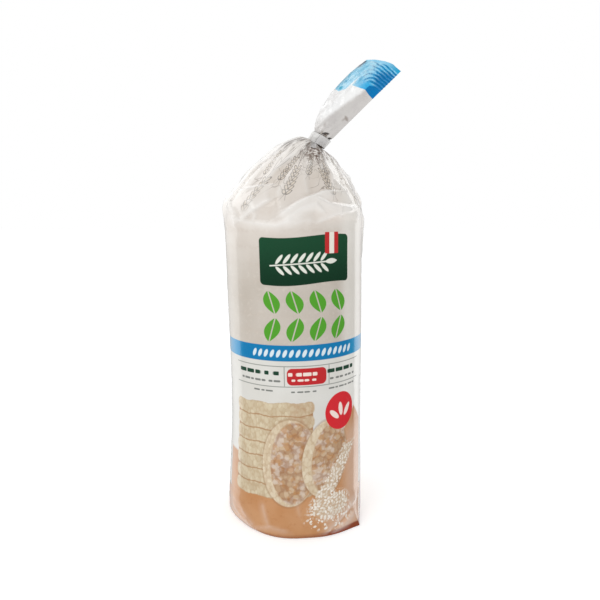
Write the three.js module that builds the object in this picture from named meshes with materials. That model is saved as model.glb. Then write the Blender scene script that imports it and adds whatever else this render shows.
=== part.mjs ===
// Pack of puffed rice cakes: a round stack wrapped in printed film. The film closes over the top of
// the stack as a lopsided dome, is gathered into a narrow neck, taped there, and ends in a leaning tail.
// Millimetres, +Z up. The origin is the middle of the flat base, and the printed front faces -Y.
import * as THREE from "three";

// Driving dimensions
const STACK_HEIGHT = 205; // the film leaves the edge of the top cake here
const BASE_RADIUS = 46.6; // the base spreads a little under the stack
const BASE_DRIFT = -0.4; // and a little to the left
const BASE_ROUNDING = 0.8;
const WAIST_RADIUS = 44.4; // the film is tightest about a third of the way up
const SHOULDER_RADIUS = 45.7;
const NECK_START = new THREE.Vector2(13.6, 249.6); // x and z of the neck's lower end
const NECK_LEAN = 38; // degrees from upright, towards +X
const NECK_LENGTH = 8.6;
const NECK_HALF_WIDTH = 4.8;
const NECK_HALF_DEPTH = 4.3;
const NECK_FLARE = 0.6; // the neck's upper end is this much wider than its lower one
const TAIL_LEAN = 46; // degrees from upright
const TAIL_RIGHT_EDGE = new THREE.Vector2(24.2, 252.2); // x and z where the tail's straight edge starts
const TAIL_LENGTH = 50; // along that edge, to the mouth's left corner
const TAIL_WIDTH = 22.2; // at its widest
const TAIL_HALF_DEPTH = 4.6;
const MOUTH_BOW = 11; // how much further the mouth reaches at its right corner
const MOUTH_HALF_DEPTH = 3.6;

// The base has one squared corner, right of the front, where the film under the stack sticks out.
const CORNER_RADIUS = 53.2; // from the axis to the corner's tip
const CORNER_ANGLES = { front: 24, tip: 54.8, side: 77 }; // degrees from the front: start, tip and end
const CORNER_HEIGHT = 17; // the corner has faded into the round wall here

// Folds: a triangle wave round the tube, with its phase drifting so that no two folds are alike
const FOLD_COUNT = 13;
const NECK_FOLD = 0.09; // depth of the folds as a share of the tube's half width
const TAIL_FOLD = 0.13;

// Tape, wound once and a half round the neck
const TAPE_WIDTH = 7.2;
const TAPE_START = 0.8; // from the neck's lower end
const TAPE_CLEARANCE = 0.35; // from the crests of the folds under it
const TAPE_THICKNESS = 0.45;
const TAPE_LAP = 0.3; // how far the second turn stands proud of the first
const LAP_START = -0.12; // radians from the front, where the loose end shows
const LAP_END = Math.PI;
const LAP_STEP = 0.06; // radians over which the lap's edge rises

// Facets
const FILM_SEGMENTS = 92; // puts a vertex on the squared corner's tip
const ROWS_PER_STATION = { body: 2, dome: 2, neck: 1, tail: 2 };
const TAPE_SEGMENTS = 72;

const radians = THREE.MathUtils.degToRad;

// A point of the tail's right edge, moved towards the left edge by the given width.
function tailPoint(along, across) {
  const lean = radians(TAIL_LEAN);
  return new THREE.Vector2(
    TAIL_RIGHT_EDGE.x + along * Math.sin(lean) - across * Math.cos(lean),
    TAIL_RIGHT_EDGE.y + along * Math.cos(lean) + across * Math.sin(lean),
  );
}

function neckPoint(along) {
  const lean = radians(NECK_LEAN);
  return new THREE.Vector2(NECK_START.x + along * Math.sin(lean), NECK_START.y + along * Math.cos(lean));
}

// One cross-section of the film tube. pinch below 2 makes it more like a diamond, as folded film is.
function station(zone, centre, halfWidth, halfDepth, lean, fold = 0, bow = 0, pinch = 2) {
  return { zone, centre, halfWidth, halfDepth, lean, fold, bow, pinch };
}

function bodyStation(height, radius, drift) {
  return station("body", new THREE.Vector2(drift, height), radius, radius, 0);
}

// The radius at an angle of the straight line between two points given by their radii and angles.
function chordRadius(angle, radiusA, angleA, radiusB, angleB) {
  const share = Math.sin(angleB - angle) / radiusA + Math.sin(angle - angleA) / radiusB;
  return Math.sin(angleB - angleA) / share;
}

// What the squared corner adds to the radius, at an angle from the front and at a height.
function cornerBulge(angle, height) {
  const front = radians(CORNER_ANGLES.front);
  const tip = radians(CORNER_ANGLES.tip);
  const side = radians(CORNER_ANGLES.side);
  if (height > CORNER_HEIGHT || angle < front || angle > side) return 0;
  const square =
    angle < tip
      ? chordRadius(angle, BASE_RADIUS, front, CORNER_RADIUS, tip)
      : chordRadius(angle, CORNER_RADIUS, tip, BASE_RADIUS, side);
  return Math.max(0, square - BASE_RADIUS) * (1 - height / CORNER_HEIGHT) ** 1.5;
}

// A section of the dome: a leaning ring between a left and a right point of its outline from the front.
function domeStation(left, right, depthShare, fold) {
  const width = right[0] - left[0];
  const drop = left[1] - right[1];
  const centre = new THREE.Vector2((left[0] + right[0]) / 2, (left[1] + right[1]) / 2);
  const half = Math.hypot(width, drop) / 2;
  const lean = THREE.MathUtils.radToDeg(Math.atan2(drop, width));
  return station("dome", centre, half, half * depthShare, lean, fold);
}

function neckStation(share) {
  return station(
    "neck",
    neckPoint(share * NECK_LENGTH),
    NECK_HALF_WIDTH + share * NECK_FLARE,
    NECK_HALF_DEPTH + share * NECK_FLARE,
    NECK_LEAN,
    NECK_FOLD,
  );
}

function tailStation(along, width, halfDepth, lean, bowShare) {
  return station(
    "tail",
    tailPoint(along, width / 2),
    width / 2,
    halfDepth,
    lean,
    TAIL_FOLD,
    MOUTH_BOW * bowShare,
    1.6,
  );
}

function filmStations() {
  return [
    bodyStation(2, BASE_RADIUS, BASE_DRIFT),
    bodyStation(11, BASE_RADIUS - 0.3, BASE_DRIFT),
    bodyStation(28, (BASE_RADIUS + WAIST_RADIUS) / 2 + 0.2, 0),
    bodyStation(76, WAIST_RADIUS, 0.8),
    bodyStation(135, WAIST_RADIUS + 0.4, 0.1),
    bodyStation(184, SHOULDER_RADIUS - 0.5, -0.8),
    bodyStation(STACK_HEIGHT - 4, SHOULDER_RADIUS - 0.1, -1.1),
    domeStation([-46.5, 210.5], [43.7, 209.5], 1, 0),
    domeStation([-40.6, 219.4], [40.6, 217.4], 1, 0.004),
    domeStation([-30.8, 231.6], [36, 226.5], 1, 0.012),
    domeStation([-19.5, 242], [30.5, 233.6], 0.98, 0.03),
    domeStation([-10.3, 248.8], [26.6, 239.6], 0.96, 0.05),
    domeStation([-1.6, 252.5], [22.6, 242.8], 0.93, 0.07),
    domeStation([4.6, 253.9], [19.2, 244.9], 0.9, NECK_FOLD),
    neckStation(0.03),
    neckStation(0.5),
    neckStation(1),
    tailStation(2.6, 0.74 * TAIL_WIDTH, TAIL_HALF_DEPTH, (NECK_LEAN + TAIL_LEAN) / 2, 0),
    tailStation(9.4, 0.875 * TAIL_WIDTH, TAIL_HALF_DEPTH, TAIL_LEAN, 0),
    tailStation(19.6, 0.98 * TAIL_WIDTH, TAIL_HALF_DEPTH, TAIL_LEAN, 0.05),
    tailStation(30, TAIL_WIDTH, TAIL_HALF_DEPTH, TAIL_LEAN, 0.3),
    tailStation(40, 0.99 * TAIL_WIDTH, (TAIL_HALF_DEPTH + MOUTH_HALF_DEPTH) / 2, TAIL_LEAN, 0.62),
    tailStation(TAIL_LENGTH, 0.91 * TAIL_WIDTH, MOUTH_HALF_DEPTH, TAIL_LEAN, 1),
  ];
}

// Smooth sections between the stations, through curves that pass each one.
function filmSections() {
  const stations = filmStations();
  const curveOf = (pick) => new THREE.CatmullRomCurve3(stations.map(pick), false, "catmullrom", 0.5);
  const place = curveOf((s) => new THREE.Vector3(s.centre.x, s.centre.y, s.lean));
  const size = curveOf((s) => new THREE.Vector3(s.halfWidth, s.halfDepth, s.fold));
  const form = curveOf((s) => new THREE.Vector3(s.bow, s.pinch, 0));
  const sections = [];
  stations.forEach((s, i) => {
    const last = i === stations.length - 1;
    const rows = last ? 1 : ROWS_PER_STATION[s.zone];
    for (let row = 0; row < rows; row++) {
      const t = (i + row / rows) / (stations.length - 1);
      const [x, z, lean] = place.getPoint(t).toArray();
      const [halfWidth, halfDepth, fold] = size.getPoint(t).toArray();
      const [bow, pinch] = form.getPoint(t).toArray();
      sections.push({ x, z, lean, halfWidth, halfDepth, fold, bow, pinch });
    }
  });
  return sections;
}

// From -1 in a valley to 1 on a crest. Angles are from the front, and the phase closes on itself.
function foldWave(angle) {
  const phase = FOLD_COUNT * angle + 1.1 * Math.sin(2 * angle + 0.7) + 0.8 * Math.sin(3 * angle + 2.1);
  const height = 0.75 + 0.25 * Math.sin(5 * angle + 1);
  return (height * 2 * Math.asin(Math.sin(phase))) / Math.PI;
}

function rounded(value, power) {
  return Math.sign(value) * Math.abs(value) ** power;
}

// A point of a section: across is towards +X in the section's leaning plane, and the front is -Y.
function sectionPoint(s, angle, share = 1) {
  const bulge = cornerBulge(angle, s.z);
  const swell = share * (1 + s.fold * foldWave(angle));
  const across = (s.halfWidth + bulge) * swell * rounded(Math.sin(angle), 2 / s.pinch);
  const towardsBack = -(s.halfDepth + bulge) * swell * rounded(Math.cos(angle), 2 / s.pinch);
  const fromRight = (s.halfWidth - across) / (2 * s.halfWidth);
  const forward = s.bow * (1 - fromRight ** 2);
  const lean = radians(s.lean);
  return new THREE.Vector3(
    s.x + across * Math.cos(lean) + forward * Math.sin(lean),
    towardsBack,
    s.z - across * Math.sin(lean) + forward * Math.cos(lean),
  );
}

function ringOf(section, share = 1) {
  const ring = [];
  for (let i = 0; i < FILM_SEGMENTS; i++) {
    ring.push(sectionPoint(section, (2 * Math.PI * i) / FILM_SEGMENTS, share));
  }
  return ring;
}

// The rounded edge of the base: a share of the rounding inwards, at a height.
function baseRing(share, height) {
  const radius = BASE_RADIUS - share * BASE_ROUNDING;
  const size = { halfWidth: radius, halfDepth: radius, pinch: 2 };
  return ringOf({ x: BASE_DRIFT, z: height, lean: 0, fold: 0, bow: 0, ...size });
}

function geometryFrom(points, faces) {
  const geometry = new THREE.BufferGeometry();
  geometry.setAttribute("position", new THREE.Float32BufferAttribute(points.flatMap((p) => p.toArray()), 3));
  geometry.setIndex(faces);
  geometry.computeVertexNormals();
  return geometry;
}

// Joins rings of equal length, and closes the first and the last one on a point.
function loft(rings, firstPoint, lastPoint) {
  const count = rings[0].length;
  const points = [...rings.flat(), firstPoint, lastPoint];
  const first = points.length - 2;
  const last = points.length - 1;
  const top = (rings.length - 1) * count;
  const faces = [];
  for (let i = 0; i < count; i++) {
    const next = (i + 1) % count;
    faces.push(first, next, i);
    faces.push(last, top + i, top + next);
    for (let row = 0; row + 1 < rings.length; row++) {
      const low = row * count;
      const high = low + count;
      faces.push(low + i, low + next, high + next, low + i, high + next, high + i);
    }
  }
  return geometryFrom(points, faces);
}

function filmGeometry() {
  const sections = filmSections();
  const mouth = sections[sections.length - 1];
  const rings = [
    baseRing(1, 0),
    baseRing(0.3, BASE_ROUNDING / 3),
    baseRing(0, BASE_ROUNDING),
    ...sections.map((s) => ringOf(s)),
    ringOf(mouth, 0.5),
  ];
  const mouthMiddle = sectionPoint(mouth, Math.PI / 2, 0);
  return loft(rings, new THREE.Vector3(0, 0, 0), mouthMiddle);
}

// Rises from 0 to 1 over one step at each end of the second turn.
function lapHeight(angle) {
  const rise = THREE.MathUtils.smoothstep(angle, LAP_START, LAP_START + LAP_STEP);
  const fall = THREE.MathUtils.smoothstep(angle, LAP_END - LAP_STEP, LAP_END);
  return rise - fall;
}

// A point of the tape, along the neck and at an angle from the front.
function tapePoint(along, angle, outer) {
  const lean = radians(NECK_LEAN);
  const flare = (NECK_FLARE * along) / NECK_LENGTH;
  const thickness = outer ? TAPE_THICKNESS + TAPE_LAP * lapHeight(angle) : 0;
  const grown = TAPE_CLEARANCE + flare + thickness;
  const across = (NECK_HALF_WIDTH * (1 + NECK_FOLD) + grown) * Math.sin(angle);
  const towardsBack = -(NECK_HALF_DEPTH * (1 + NECK_FOLD) + grown) * Math.cos(angle);
  const centre = neckPoint(along);
  return new THREE.Vector3(
    centre.x + across * Math.cos(lean),
    towardsBack,
    centre.y - across * Math.sin(lean),
  );
}

function tapeGeometry() {
  const end = TAPE_START + TAPE_WIDTH;
  const corners = [
    { along: TAPE_START, outer: false },
    { along: TAPE_START, outer: true },
    { along: end, outer: true },
    { along: end, outer: false },
  ];
  const points = [];
  const faces = [];
  for (let i = 0; i < TAPE_SEGMENTS; i++) {
    const angle = LAP_START + (2 * Math.PI * i) / TAPE_SEGMENTS;
    corners.forEach(({ along, outer }, k) => {
      points.push(tapePoint(along, angle, outer));
      const here = i * corners.length;
      const after = ((i + 1) % TAPE_SEGMENTS) * corners.length;
      const next = (k + 1) % corners.length;
      faces.push(here + k, after + k, after + next, here + k, after + next, here + next);
    });
  }
  return geometryFrom(points, faces);
}

function named(name, geometry, colour, roughness) {
  const material = new THREE.MeshStandardMaterial({ color: colour, roughness, metalness: 0 });
  const mesh = new THREE.Mesh(geometry, material);
  mesh.name = name;
  return mesh;
}

const pack = new THREE.Group();
pack.add(named("film_pack", filmGeometry(), 0xd8cfc5, 0.35));
pack.add(named("neck_tape", tapeGeometry(), 0xe4e2df, 0.5));

export default pack;
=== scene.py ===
# %% [markdown]
# # A shut film pack of round grain cakes
#
# The object is a tall, round pack. A stack of flat grain cakes stands inside a tube of milky printed
# film. Above the stack the film closes as a loose dome, is drawn together into a narrow neck, taped
# there, and ends in a flat, folded tail that leans to the right. This notebook dresses the plain solids
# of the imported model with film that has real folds, a print made of plain shapes, a wound tape, and the
# light of a white studio.

import bpy
import numpy as np
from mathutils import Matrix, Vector
from mathutils.bvhtree import BVHTree


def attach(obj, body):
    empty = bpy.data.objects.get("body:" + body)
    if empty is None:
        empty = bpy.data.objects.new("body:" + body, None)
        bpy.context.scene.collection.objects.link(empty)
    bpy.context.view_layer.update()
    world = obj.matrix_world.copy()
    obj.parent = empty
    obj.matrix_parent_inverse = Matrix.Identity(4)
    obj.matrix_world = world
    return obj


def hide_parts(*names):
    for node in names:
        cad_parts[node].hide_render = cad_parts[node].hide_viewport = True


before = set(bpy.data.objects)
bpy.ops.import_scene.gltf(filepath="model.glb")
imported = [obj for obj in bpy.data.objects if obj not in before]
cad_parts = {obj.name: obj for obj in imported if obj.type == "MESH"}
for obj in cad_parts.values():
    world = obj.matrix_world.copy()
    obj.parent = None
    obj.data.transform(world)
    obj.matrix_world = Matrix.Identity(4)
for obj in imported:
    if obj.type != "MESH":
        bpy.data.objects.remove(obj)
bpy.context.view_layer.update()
MM = 0.001  # Blender works in metres, and the sizes here are in millimetres

# %% [markdown]
# ## The camera comes first
#
# The pack was seen from close by, a little above its middle and tipped down by about eight degrees.
# With the camera set first, every look at the work is from the right place.

# %% Camera
CAMERA_PLACE = (0.0034, -0.380, 0.2029)  # metres
CAMERA_LENS, CAMERA_TIP = 33.96, 8.42  # millimetres, and degrees below level
camera_data = bpy.data.cameras.new("camera")
camera_data.lens = CAMERA_LENS
camera_data.sensor_width = 36.0
camera_data.clip_start = 0.01
camera = bpy.data.objects.new("camera", camera_data)
camera.location = CAMERA_PLACE
camera.rotation_euler = (np.radians(90 - CAMERA_TIP), 0, 0)
bpy.context.scene.collection.objects.link(camera)
bpy.context.scene.camera = camera
print("camera lens", camera_data.lens, "mm")

# %% [markdown]
# ## The film as a tube of sections
#
# The whole film is one tube. Each section is nearly a circle with a centre, a size and a lean, so a
# short table of sections says where the tube is waisted, where it bends over the top cake, and how the
# ring tips to the right as it nears the neck. A smooth curve through the table's rows gives as many
# sections as the mesh needs. This is the same rule that the solid was made by, so the film lies where
# the solid is.

# %% Sections of the film
NECK_START = np.array([13.6, 249.6])
NECK_LEAN = 38.0
NECK_LENGTH = 8.6
NECK_HALF_WIDTH, NECK_HALF_DEPTH, NECK_FLARE = 4.8, 4.3, 0.6
NECK_FOLD = 0.09
BASE_RADIUS, BASE_DRIFT = 46.6, -0.4


# Each section: x and z of its middle, lean in degrees, half width, half depth, and how deep its pleats are.
def body_section(height, radius, drift):
    return (drift, height, 0.0, radius, radius, 0.0)


def dome_section(left, right, depth_share, fold):
    width, drop = right[0] - left[0], left[1] - right[1]
    half = np.hypot(width, drop) / 2
    lean = np.degrees(np.arctan2(drop, width))
    middle = ((left[0] + right[0]) / 2, (left[1] + right[1]) / 2)
    return (*middle, lean, half, half * depth_share, fold)


def neck_section(share):
    lean = np.radians(NECK_LEAN)
    x, z = NECK_START + share * NECK_LENGTH * np.array([np.sin(lean), np.cos(lean)])
    flare = share * NECK_FLARE
    return (x, z, NECK_LEAN, NECK_HALF_WIDTH + flare, NECK_HALF_DEPTH + flare, NECK_FOLD)


SECTIONS = np.array([
    body_section(2, BASE_RADIUS, BASE_DRIFT),
    body_section(11, BASE_RADIUS - 0.3, BASE_DRIFT),
    body_section(28, 45.7, 0),
    body_section(76, 44.4, 0.8),
    body_section(135, 44.8, 0.1),
    body_section(184, 45.2, -0.8),
    body_section(201, 45.6, -1.1),
    dome_section((-46.5, 210.5), (43.7, 209.5), 1, 0),
    dome_section((-40.6, 219.4), (40.6, 217.4), 1, 0.004),
    dome_section((-30.8, 231.6), (36, 226.5), 1, 0.012),
    dome_section((-19.5, 242), (30.5, 233.6), 0.98, 0.03),
    dome_section((-10.3, 248.8), (26.6, 239.6), 0.96, 0.05),
    dome_section((-1.6, 252.5), (22.6, 242.8), 0.93, 0.07),
    dome_section((4.6, 253.9), (19.2, 244.9), 0.9, NECK_FOLD),
    neck_section(0.03),
    neck_section(0.5),
    neck_section(1),
])


def smooth_rows(table, place):
    """Rows of a table at fractional row numbers, on a smooth curve through every row."""
    padded = np.vstack([2 * table[0] - table[1], table, 2 * table[-1] - table[-2]])
    row = np.clip(np.floor(place).astype(int), 0, len(table) - 2)
    f = (place - row)[:, None]
    before, here, after, beyond = (padded[row + k] for k in range(4))
    slope_in, slope_out = (after - before) / 2, (beyond - here) / 2
    square = 3 * (after - here) - 2 * slope_in - slope_out
    cube = 2 * (here - after) + slope_in + slope_out
    return here + f * slope_in + f**2 * square + f**3 * cube


print(len(SECTIONS), "sections from the base to the top of the neck")

# %% [markdown]
# ## Pleats
#
# Film can't shrink. A ring of film 283 mm round has to fit a neck only 30 mm round, so the spare length
# goes into pleats: a few broad ones low on the dome, which split into more and smaller ones as the neck
# draws near. A triangle wave has the straight sides and tight turns of folded film. Its phase drifts,
# so no two pleats are alike, and on the left, where the dome slopes gently, the pleats stay low.

# %% Pleats that split towards the neck
BROAD_PLEATS, FINE_PLEATS, FINEST_PLEATS = 13, 31, 57
CALM_MIDDLE, CALM_REACH = -72, 38  # degrees from the front: the gentle left of the dome
FOLD_SHARPNESS = 0.985  # 1 would be a knife edge


def ramp(value, start, end):
    """0 before start, 1 after end, smooth between."""
    share = np.clip((value - start) / (end - start), 0, 1)
    return share * share * (3 - 2 * share)


def triangle(phase):
    """A wave with straight sides and tight turns."""
    return 2 * np.arcsin(FOLD_SHARPNESS * np.sin(phase)) / np.pi


def pleat(angle, count, seed):
    """A drifting wave with this many pleats round the tube, from -1 to 1."""
    drift = 1.1 * np.sin(2 * angle + 0.7 * seed) + 0.8 * np.sin(3 * angle + 2.1 * seed)
    height = 0.75 + 0.25 * np.sin(5 * angle + seed)
    return height * triangle(count * angle + drift)


def pleats(angle, along):
    """Broad pleats all the way, joined by finer ones as the film nears the neck."""
    twist = 0.25 * ramp(along, 235, 270)
    turned = angle + twist
    fine, finest = ramp(along, 228, 256), ramp(along, 246, 266)
    off_calm = (np.degrees(angle) - CALM_MIDDLE) / CALM_REACH
    calm = 0.65 * np.exp(-(off_calm**2)) * (1 - ramp(along, 250, 266))
    wave = (1 - 0.35 * fine) * (1 - 0.2 * finest) * pleat(turned, BROAD_PLEATS, 1)
    wave = wave + 0.35 * fine * pleat(turned, FINE_PLEATS, 2)
    wave = wave + 0.2 * finest * pleat(turned, FINEST_PLEATS, 3)
    return 0.92 * (1 - calm) * wave


# %% [markdown]
# ## The squared corner at the foot
#
# Right of the front, the film under the stack isn't pulled tight. It sticks out as one corner, with a
# fold under it that stays in shade. Two straight lines from the round wall to the corner's tip give its
# outline, and it fades into the round wall 17 mm up. Next to the corner the foot is over 2 mm fuller
# than round, and left of the front it is almost 3 mm slacker, so that its edge there is straighter.

# %% Corner at the foot
CORNER_RADIUS, CORNER_HEIGHT = 53.2, 17.0
CORNER_FRONT, CORNER_TIP, CORNER_SIDE = np.radians([24.0, 54.8, 77.0])
FLAT_MIDDLE, FLAT_REACH, FLAT_DEPTH = np.radians(-52.0), np.radians(46.0), 2.9
FULL_MIDDLE, FULL_REACH, FULL_DEPTH = np.radians(33.0), np.radians(27.0), 2.4


def chord(angle, radius_a, a, radius_b, b):
    """Radius, at each angle, of the straight line between two points of the wall."""
    return np.sin(b - a) / (np.sin(b - angle) / radius_a + np.sin(angle - a) / radius_b)


def hump(angle, middle, reach):
    """A soft swelling round the wall: 1 at its middle, 0 from its reach on."""
    return np.cos(np.clip((angle - middle) / reach, -1, 1) * np.pi / 2) ** 2


def corner_bulge(angle, height):
    to_tip = chord(angle, BASE_RADIUS, CORNER_FRONT, CORNER_RADIUS, CORNER_TIP)
    from_tip = chord(angle, CORNER_RADIUS, CORNER_TIP, BASE_RADIUS, CORNER_SIDE)
    square = np.where(angle < CORNER_TIP, to_tip, from_tip)
    inside = (angle >= CORNER_FRONT) & (angle <= CORNER_SIDE)
    fade = np.clip(1 - height / CORNER_HEIGHT, 0, 1) ** 1.5
    corner = np.where(inside, np.maximum(0, square - BASE_RADIUS), 0)
    drawn_in = FLAT_DEPTH * hump(angle, FLAT_MIDDLE, FLAT_REACH)
    fuller = FULL_DEPTH * hump(angle, FULL_MIDDLE, FULL_REACH)
    return (corner + fuller - drawn_in) * fade


def film_rings(sections, angle, wave):
    """Points of the tube, one ring for each section. Angle 0 is the front, and angles grow to the right."""
    x, z, lean, half_width, half_depth, fold = (sections[:, k, None] for k in range(6))
    swell = 1 + fold * wave
    bulge = corner_bulge(angle[None], z)
    across = (half_width + bulge) * swell * np.sin(angle)
    back = -(half_depth + bulge) * swell * np.cos(angle)
    lean = np.radians(lean)
    return np.stack([x + across * np.cos(lean), back + 0 * x, z - across * np.sin(lean)], -1)


# %% Rows spaced evenly along the film
COLUMNS = 384
CROWDING = 0.3  # the columns stand closer together at the front, where the folds are finest
UNDER_ROWS = 14
even_turn = np.linspace(-np.pi, np.pi, COLUMNS, endpoint=False)
ANGLES = even_turn - CROWDING * np.sin(even_turn)
NEXT_ANGLES = np.append(ANGLES[1:], ANGLES[0] + 2 * np.pi)

places = np.linspace(0, len(SECTIONS) - 1, 4000)
few = ANGLES[::32]
measured = film_rings(smooth_rows(SECTIONS, places), few, 0 * few[None])
steps = np.linalg.norm(np.diff(measured, axis=0), axis=2).mean(1)
travelled = 2.0 + np.concatenate([[0], np.cumsum(steps)])  # millimetres of film from the floor up
film_end = travelled[-1]
along_rows = np.concatenate([
    np.linspace(2, 20, 14, endpoint=False),
    np.linspace(20, 194, 82, endpoint=False),
    np.linspace(194, 232, 84, endpoint=False),
    np.linspace(232, 262, 40, endpoint=False),
    np.linspace(262, film_end, 18),
])
row_places = np.interp(along_rows, travelled, places)
print("the film is", round(float(film_end), 1), "mm long from the floor to the top of the neck")

# %% [markdown]
# ## Creases
#
# Loose film doesn't bend softly. It breaks into flat facets that meet in straight ridges. Each crease
# here is a line on the film with a tent over it: the film rises in a straight slope to the ridge and
# falls away on the other side. The ridges on the front shoulder are placed one by one, and the rest are
# drawn at random from a fixed seed.

# %% Crease lines
DEGREE_ROUND = 0.785  # millimetres round the film for one degree
# Each line: points as (degrees from the front, millimetres along the film), height, reach above, reach below.
FRONT_CREASES = [
    ([(-62, 203), (-41, 200.5), (-25, 198.5), (-12, 197.5), (-4, 200), (0, 203)], 1.0, 2.5, 6),
    ([(-43, 201), (-27, 208), (-16, 213)], 1.4, 14, 1.6),
    ([(-10, 203.5), (-2, 207), (5, 211), (15, 215), (27, 219), (36, 220)], 1.9, 1.8, 12),
    ([(15, 214.5), (29, 210), (50, 208.5), (74, 210)], 1.3, 2.2, 8),
    ([(18, 199.5), (34, 204), (54, 207)], 1.1, 7, 1.6),
    ([(-2, 203), (8, 207.5), (18, 210), (24, 206)], 0.9, 1.5, 5),
    ([(44, 227), (53, 219), (56, 211)], 1.0, 2, 6),
    ([(60, 228), (66, 217), (67, 208)], 0.9, 5, 2),
    ([(-72, 218), (-43, 221), (-18, 223)], 0.8, 1.5, 9),
    ([(-64, 214), (-50, 205)], 0.9, 2, 6),
    ([(-35, 214), (-29, 204), (-31, 200)], 0.7, 2, 4),
    ([(-8, 204), (-13, 218), (-7, 234)], 0.6, 2, 8),
    ([(12, 216), (7, 228), (12, 246)], 0.5, 7, 3),
    ([(35, 221), (38, 236), (30, 248)], 1.0, 2, 7),
    ([(-30, 222), (-24, 236), (-14, 250)], 1.0, 8, 2),
    ([(-52, 222), (-48, 236)], 0.9, 2, 8),
]
FOOT_FOLDS = [
    ([(24, 2), (38, 8), (52, 13), (66, 15)], 0.8, 6, 1.6),
    ([(30, 1), (44, 4.5), (55, 9)], 0.7, 1.6, 4),
    ([(58, 2), (66, 9), (72, 20)], 0.6, 2, 6),
    ([(-38, 2), (-20, 7), (-4, 5)], 0.35, 1.5, 5),
    ([(-70, 10), (-52, 4), (-40, 2)], 0.35, 5, 1.5),
]


def random_creases(seed, count, angles, alongs, length, height, reach):
    """Crease lines scattered over a patch of film, most of them slanting."""
    rng = np.random.default_rng(seed)
    lines = []
    for _ in range(count):
        start = np.array([rng.uniform(*angles), rng.uniform(*alongs)])
        heading = rng.uniform(0, 2 * np.pi)
        size = rng.uniform(*length)
        step = size * np.array([np.cos(heading) / DEGREE_ROUND, np.sin(heading)])
        bend = rng.normal(0, 0.12 * size, 2)
        points = [tuple(start), tuple(start + step / 2 + bend), tuple(start + step)]
        lines.append((points, rng.uniform(*height), rng.uniform(*reach), rng.uniform(*reach)))
    return lines


BACK_CREASES = random_creases(11, 34, (78, 282), (198, 240), (14, 34), (0.8, 1.6), (1.8, 11))
SMALL_CREASES = random_creases(12, 60, (-180, 180), (198, 252), (5, 13), (0.2, 0.5), (1.2, 4))
WALL_CREASES = random_creases(13, 16, (70, 300), (12, 192), (20, 60), (0.1, 0.28), (5, 12))
FOOT_CREASES = random_creases(14, 22, (-180, 180), (2, 16), (6, 16), (0.15, 0.4), (2, 5))
print(len(FRONT_CREASES), "placed creases,", len(BACK_CREASES) + len(SMALL_CREASES), "drawn ones on the dome")


# %% Tents over the creases
def point_on_film(degrees, along):
    place = np.interp(along, travelled, places)
    return film_rings(smooth_rows(SECTIONS, np.array([place])), np.array([np.radians(degrees)]), 0.0)[0, 0]


def tent(points, normals, line, height, reach_left, reach_right):
    """Height of the film over one crease, and how close each point is to the ridge itself."""
    corners = np.array([point_on_film(*p) for p in line])
    rise = np.zeros(len(points))
    ridge = np.zeros(len(points))
    far = max(reach_left, reach_right) + np.linalg.norm(corners[-1] - corners[0])
    near = np.flatnonzero(np.linalg.norm(points - corners.mean(0), axis=1) < far)
    closest = np.full(len(near), 1e9)
    side = np.zeros(len(near))
    share = np.zeros(len(near))
    for k, (a, b) in enumerate(zip(corners[:-1], corners[1:])):
        run = b - a
        t = np.clip((points[near] - a) @ run / (run @ run), 0, 1)
        offset = points[near] - (a + t[:, None] * run)
        distance = np.linalg.norm(offset, axis=1)
        nearer = distance < closest
        closest = np.where(nearer, distance, closest)
        handed = (np.cross(run, offset) * normals[near]).sum(1)
        side = np.where(nearer, handed, side)
        share = np.where(nearer, (k + t) / (len(corners) - 1), share)
    reach = np.where(side > 0, reach_left, reach_right)
    ends = np.clip(6 * share * (1 - share) + 0.35, 0, 1)
    rise[near] = height * ends * np.clip(1 - closest / reach, 0, 1)
    ridge[near] = ends * np.exp(-closest / 0.8)
    return rise, ridge


def normals_of(grid, closed):
    """Outward directions of a grid of points, rows first."""
    around = np.roll(grid, -1, 1) - np.roll(grid, 1, 1) if closed else np.gradient(grid, axis=1)
    up = np.gradient(grid, axis=0)
    n = np.cross(around, up)
    return n / np.maximum(np.linalg.norm(n, axis=2, keepdims=True), 1e-12)


# %% [markdown]
# ## The wall, the dome and the underside as one mesh
#
# The rows from the floor up are lifted off the smooth tube by the creases. Below the lowest row the
# mesh turns under and closes in the middle of the base, where the film is folded like an envelope: a
# sealed strip down the middle, and the ends tucked under it. Everything there lies at floor level or
# just above it, so the pack still stands flat.

# %% Raised film
FULL_LIFT = 1.6  # a crease this high makes the film look fully loose
grid = film_rings(smooth_rows(SECTIONS, row_places), ANGLES, pleats(ANGLES[None], along_rows[:, None]))
outward = normals_of(grid, True)
flat_points, flat_normals = grid.reshape(-1, 3), outward.reshape(-1, 3)
lift = np.zeros(len(flat_points))
ridges = np.zeros(len(flat_points))
PLACED_CREASES = FRONT_CREASES + FOOT_FOLDS
DRAWN_CREASES = BACK_CREASES + SMALL_CREASES + WALL_CREASES + FOOT_CREASES
for crease in PLACED_CREASES + DRAWN_CREASES:
    rise, ridge = tent(flat_points, flat_normals, *crease)
    lift += rise
    ridges = np.maximum(ridges, ridge * min(1, crease[1]))
lift, ridges = lift.reshape(grid.shape[:2]), ridges.reshape(grid.shape[:2])
lifted = np.clip(lift / FULL_LIFT, 0, 1)
heights = along_rows[:, None] + 0 * ANGLES[None]
lift -= 0.6 * ramp(heights, 196, 214) * (1 - ramp(heights, 240, 262))  # keeps the outline where it was
grid = grid + outward * lift[..., None]
print("creases lift the film by up to", round(float(lift.max()), 2), "mm")

# %% Foot and underside
FOOT_ROUNDING = 0.8
BASE_SEAL_X, BASE_SEAL_HALF, BASE_RIB_PITCH = 2, 9.5, 1.6


def foot_ring(share, height):
    radius = BASE_RADIUS - share * FOOT_ROUNDING
    section = np.array([[BASE_DRIFT, height, 0, radius, radius, 0]])
    return film_rings(section, ANGLES, np.zeros((1, COLUMNS)))[0]


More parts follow.
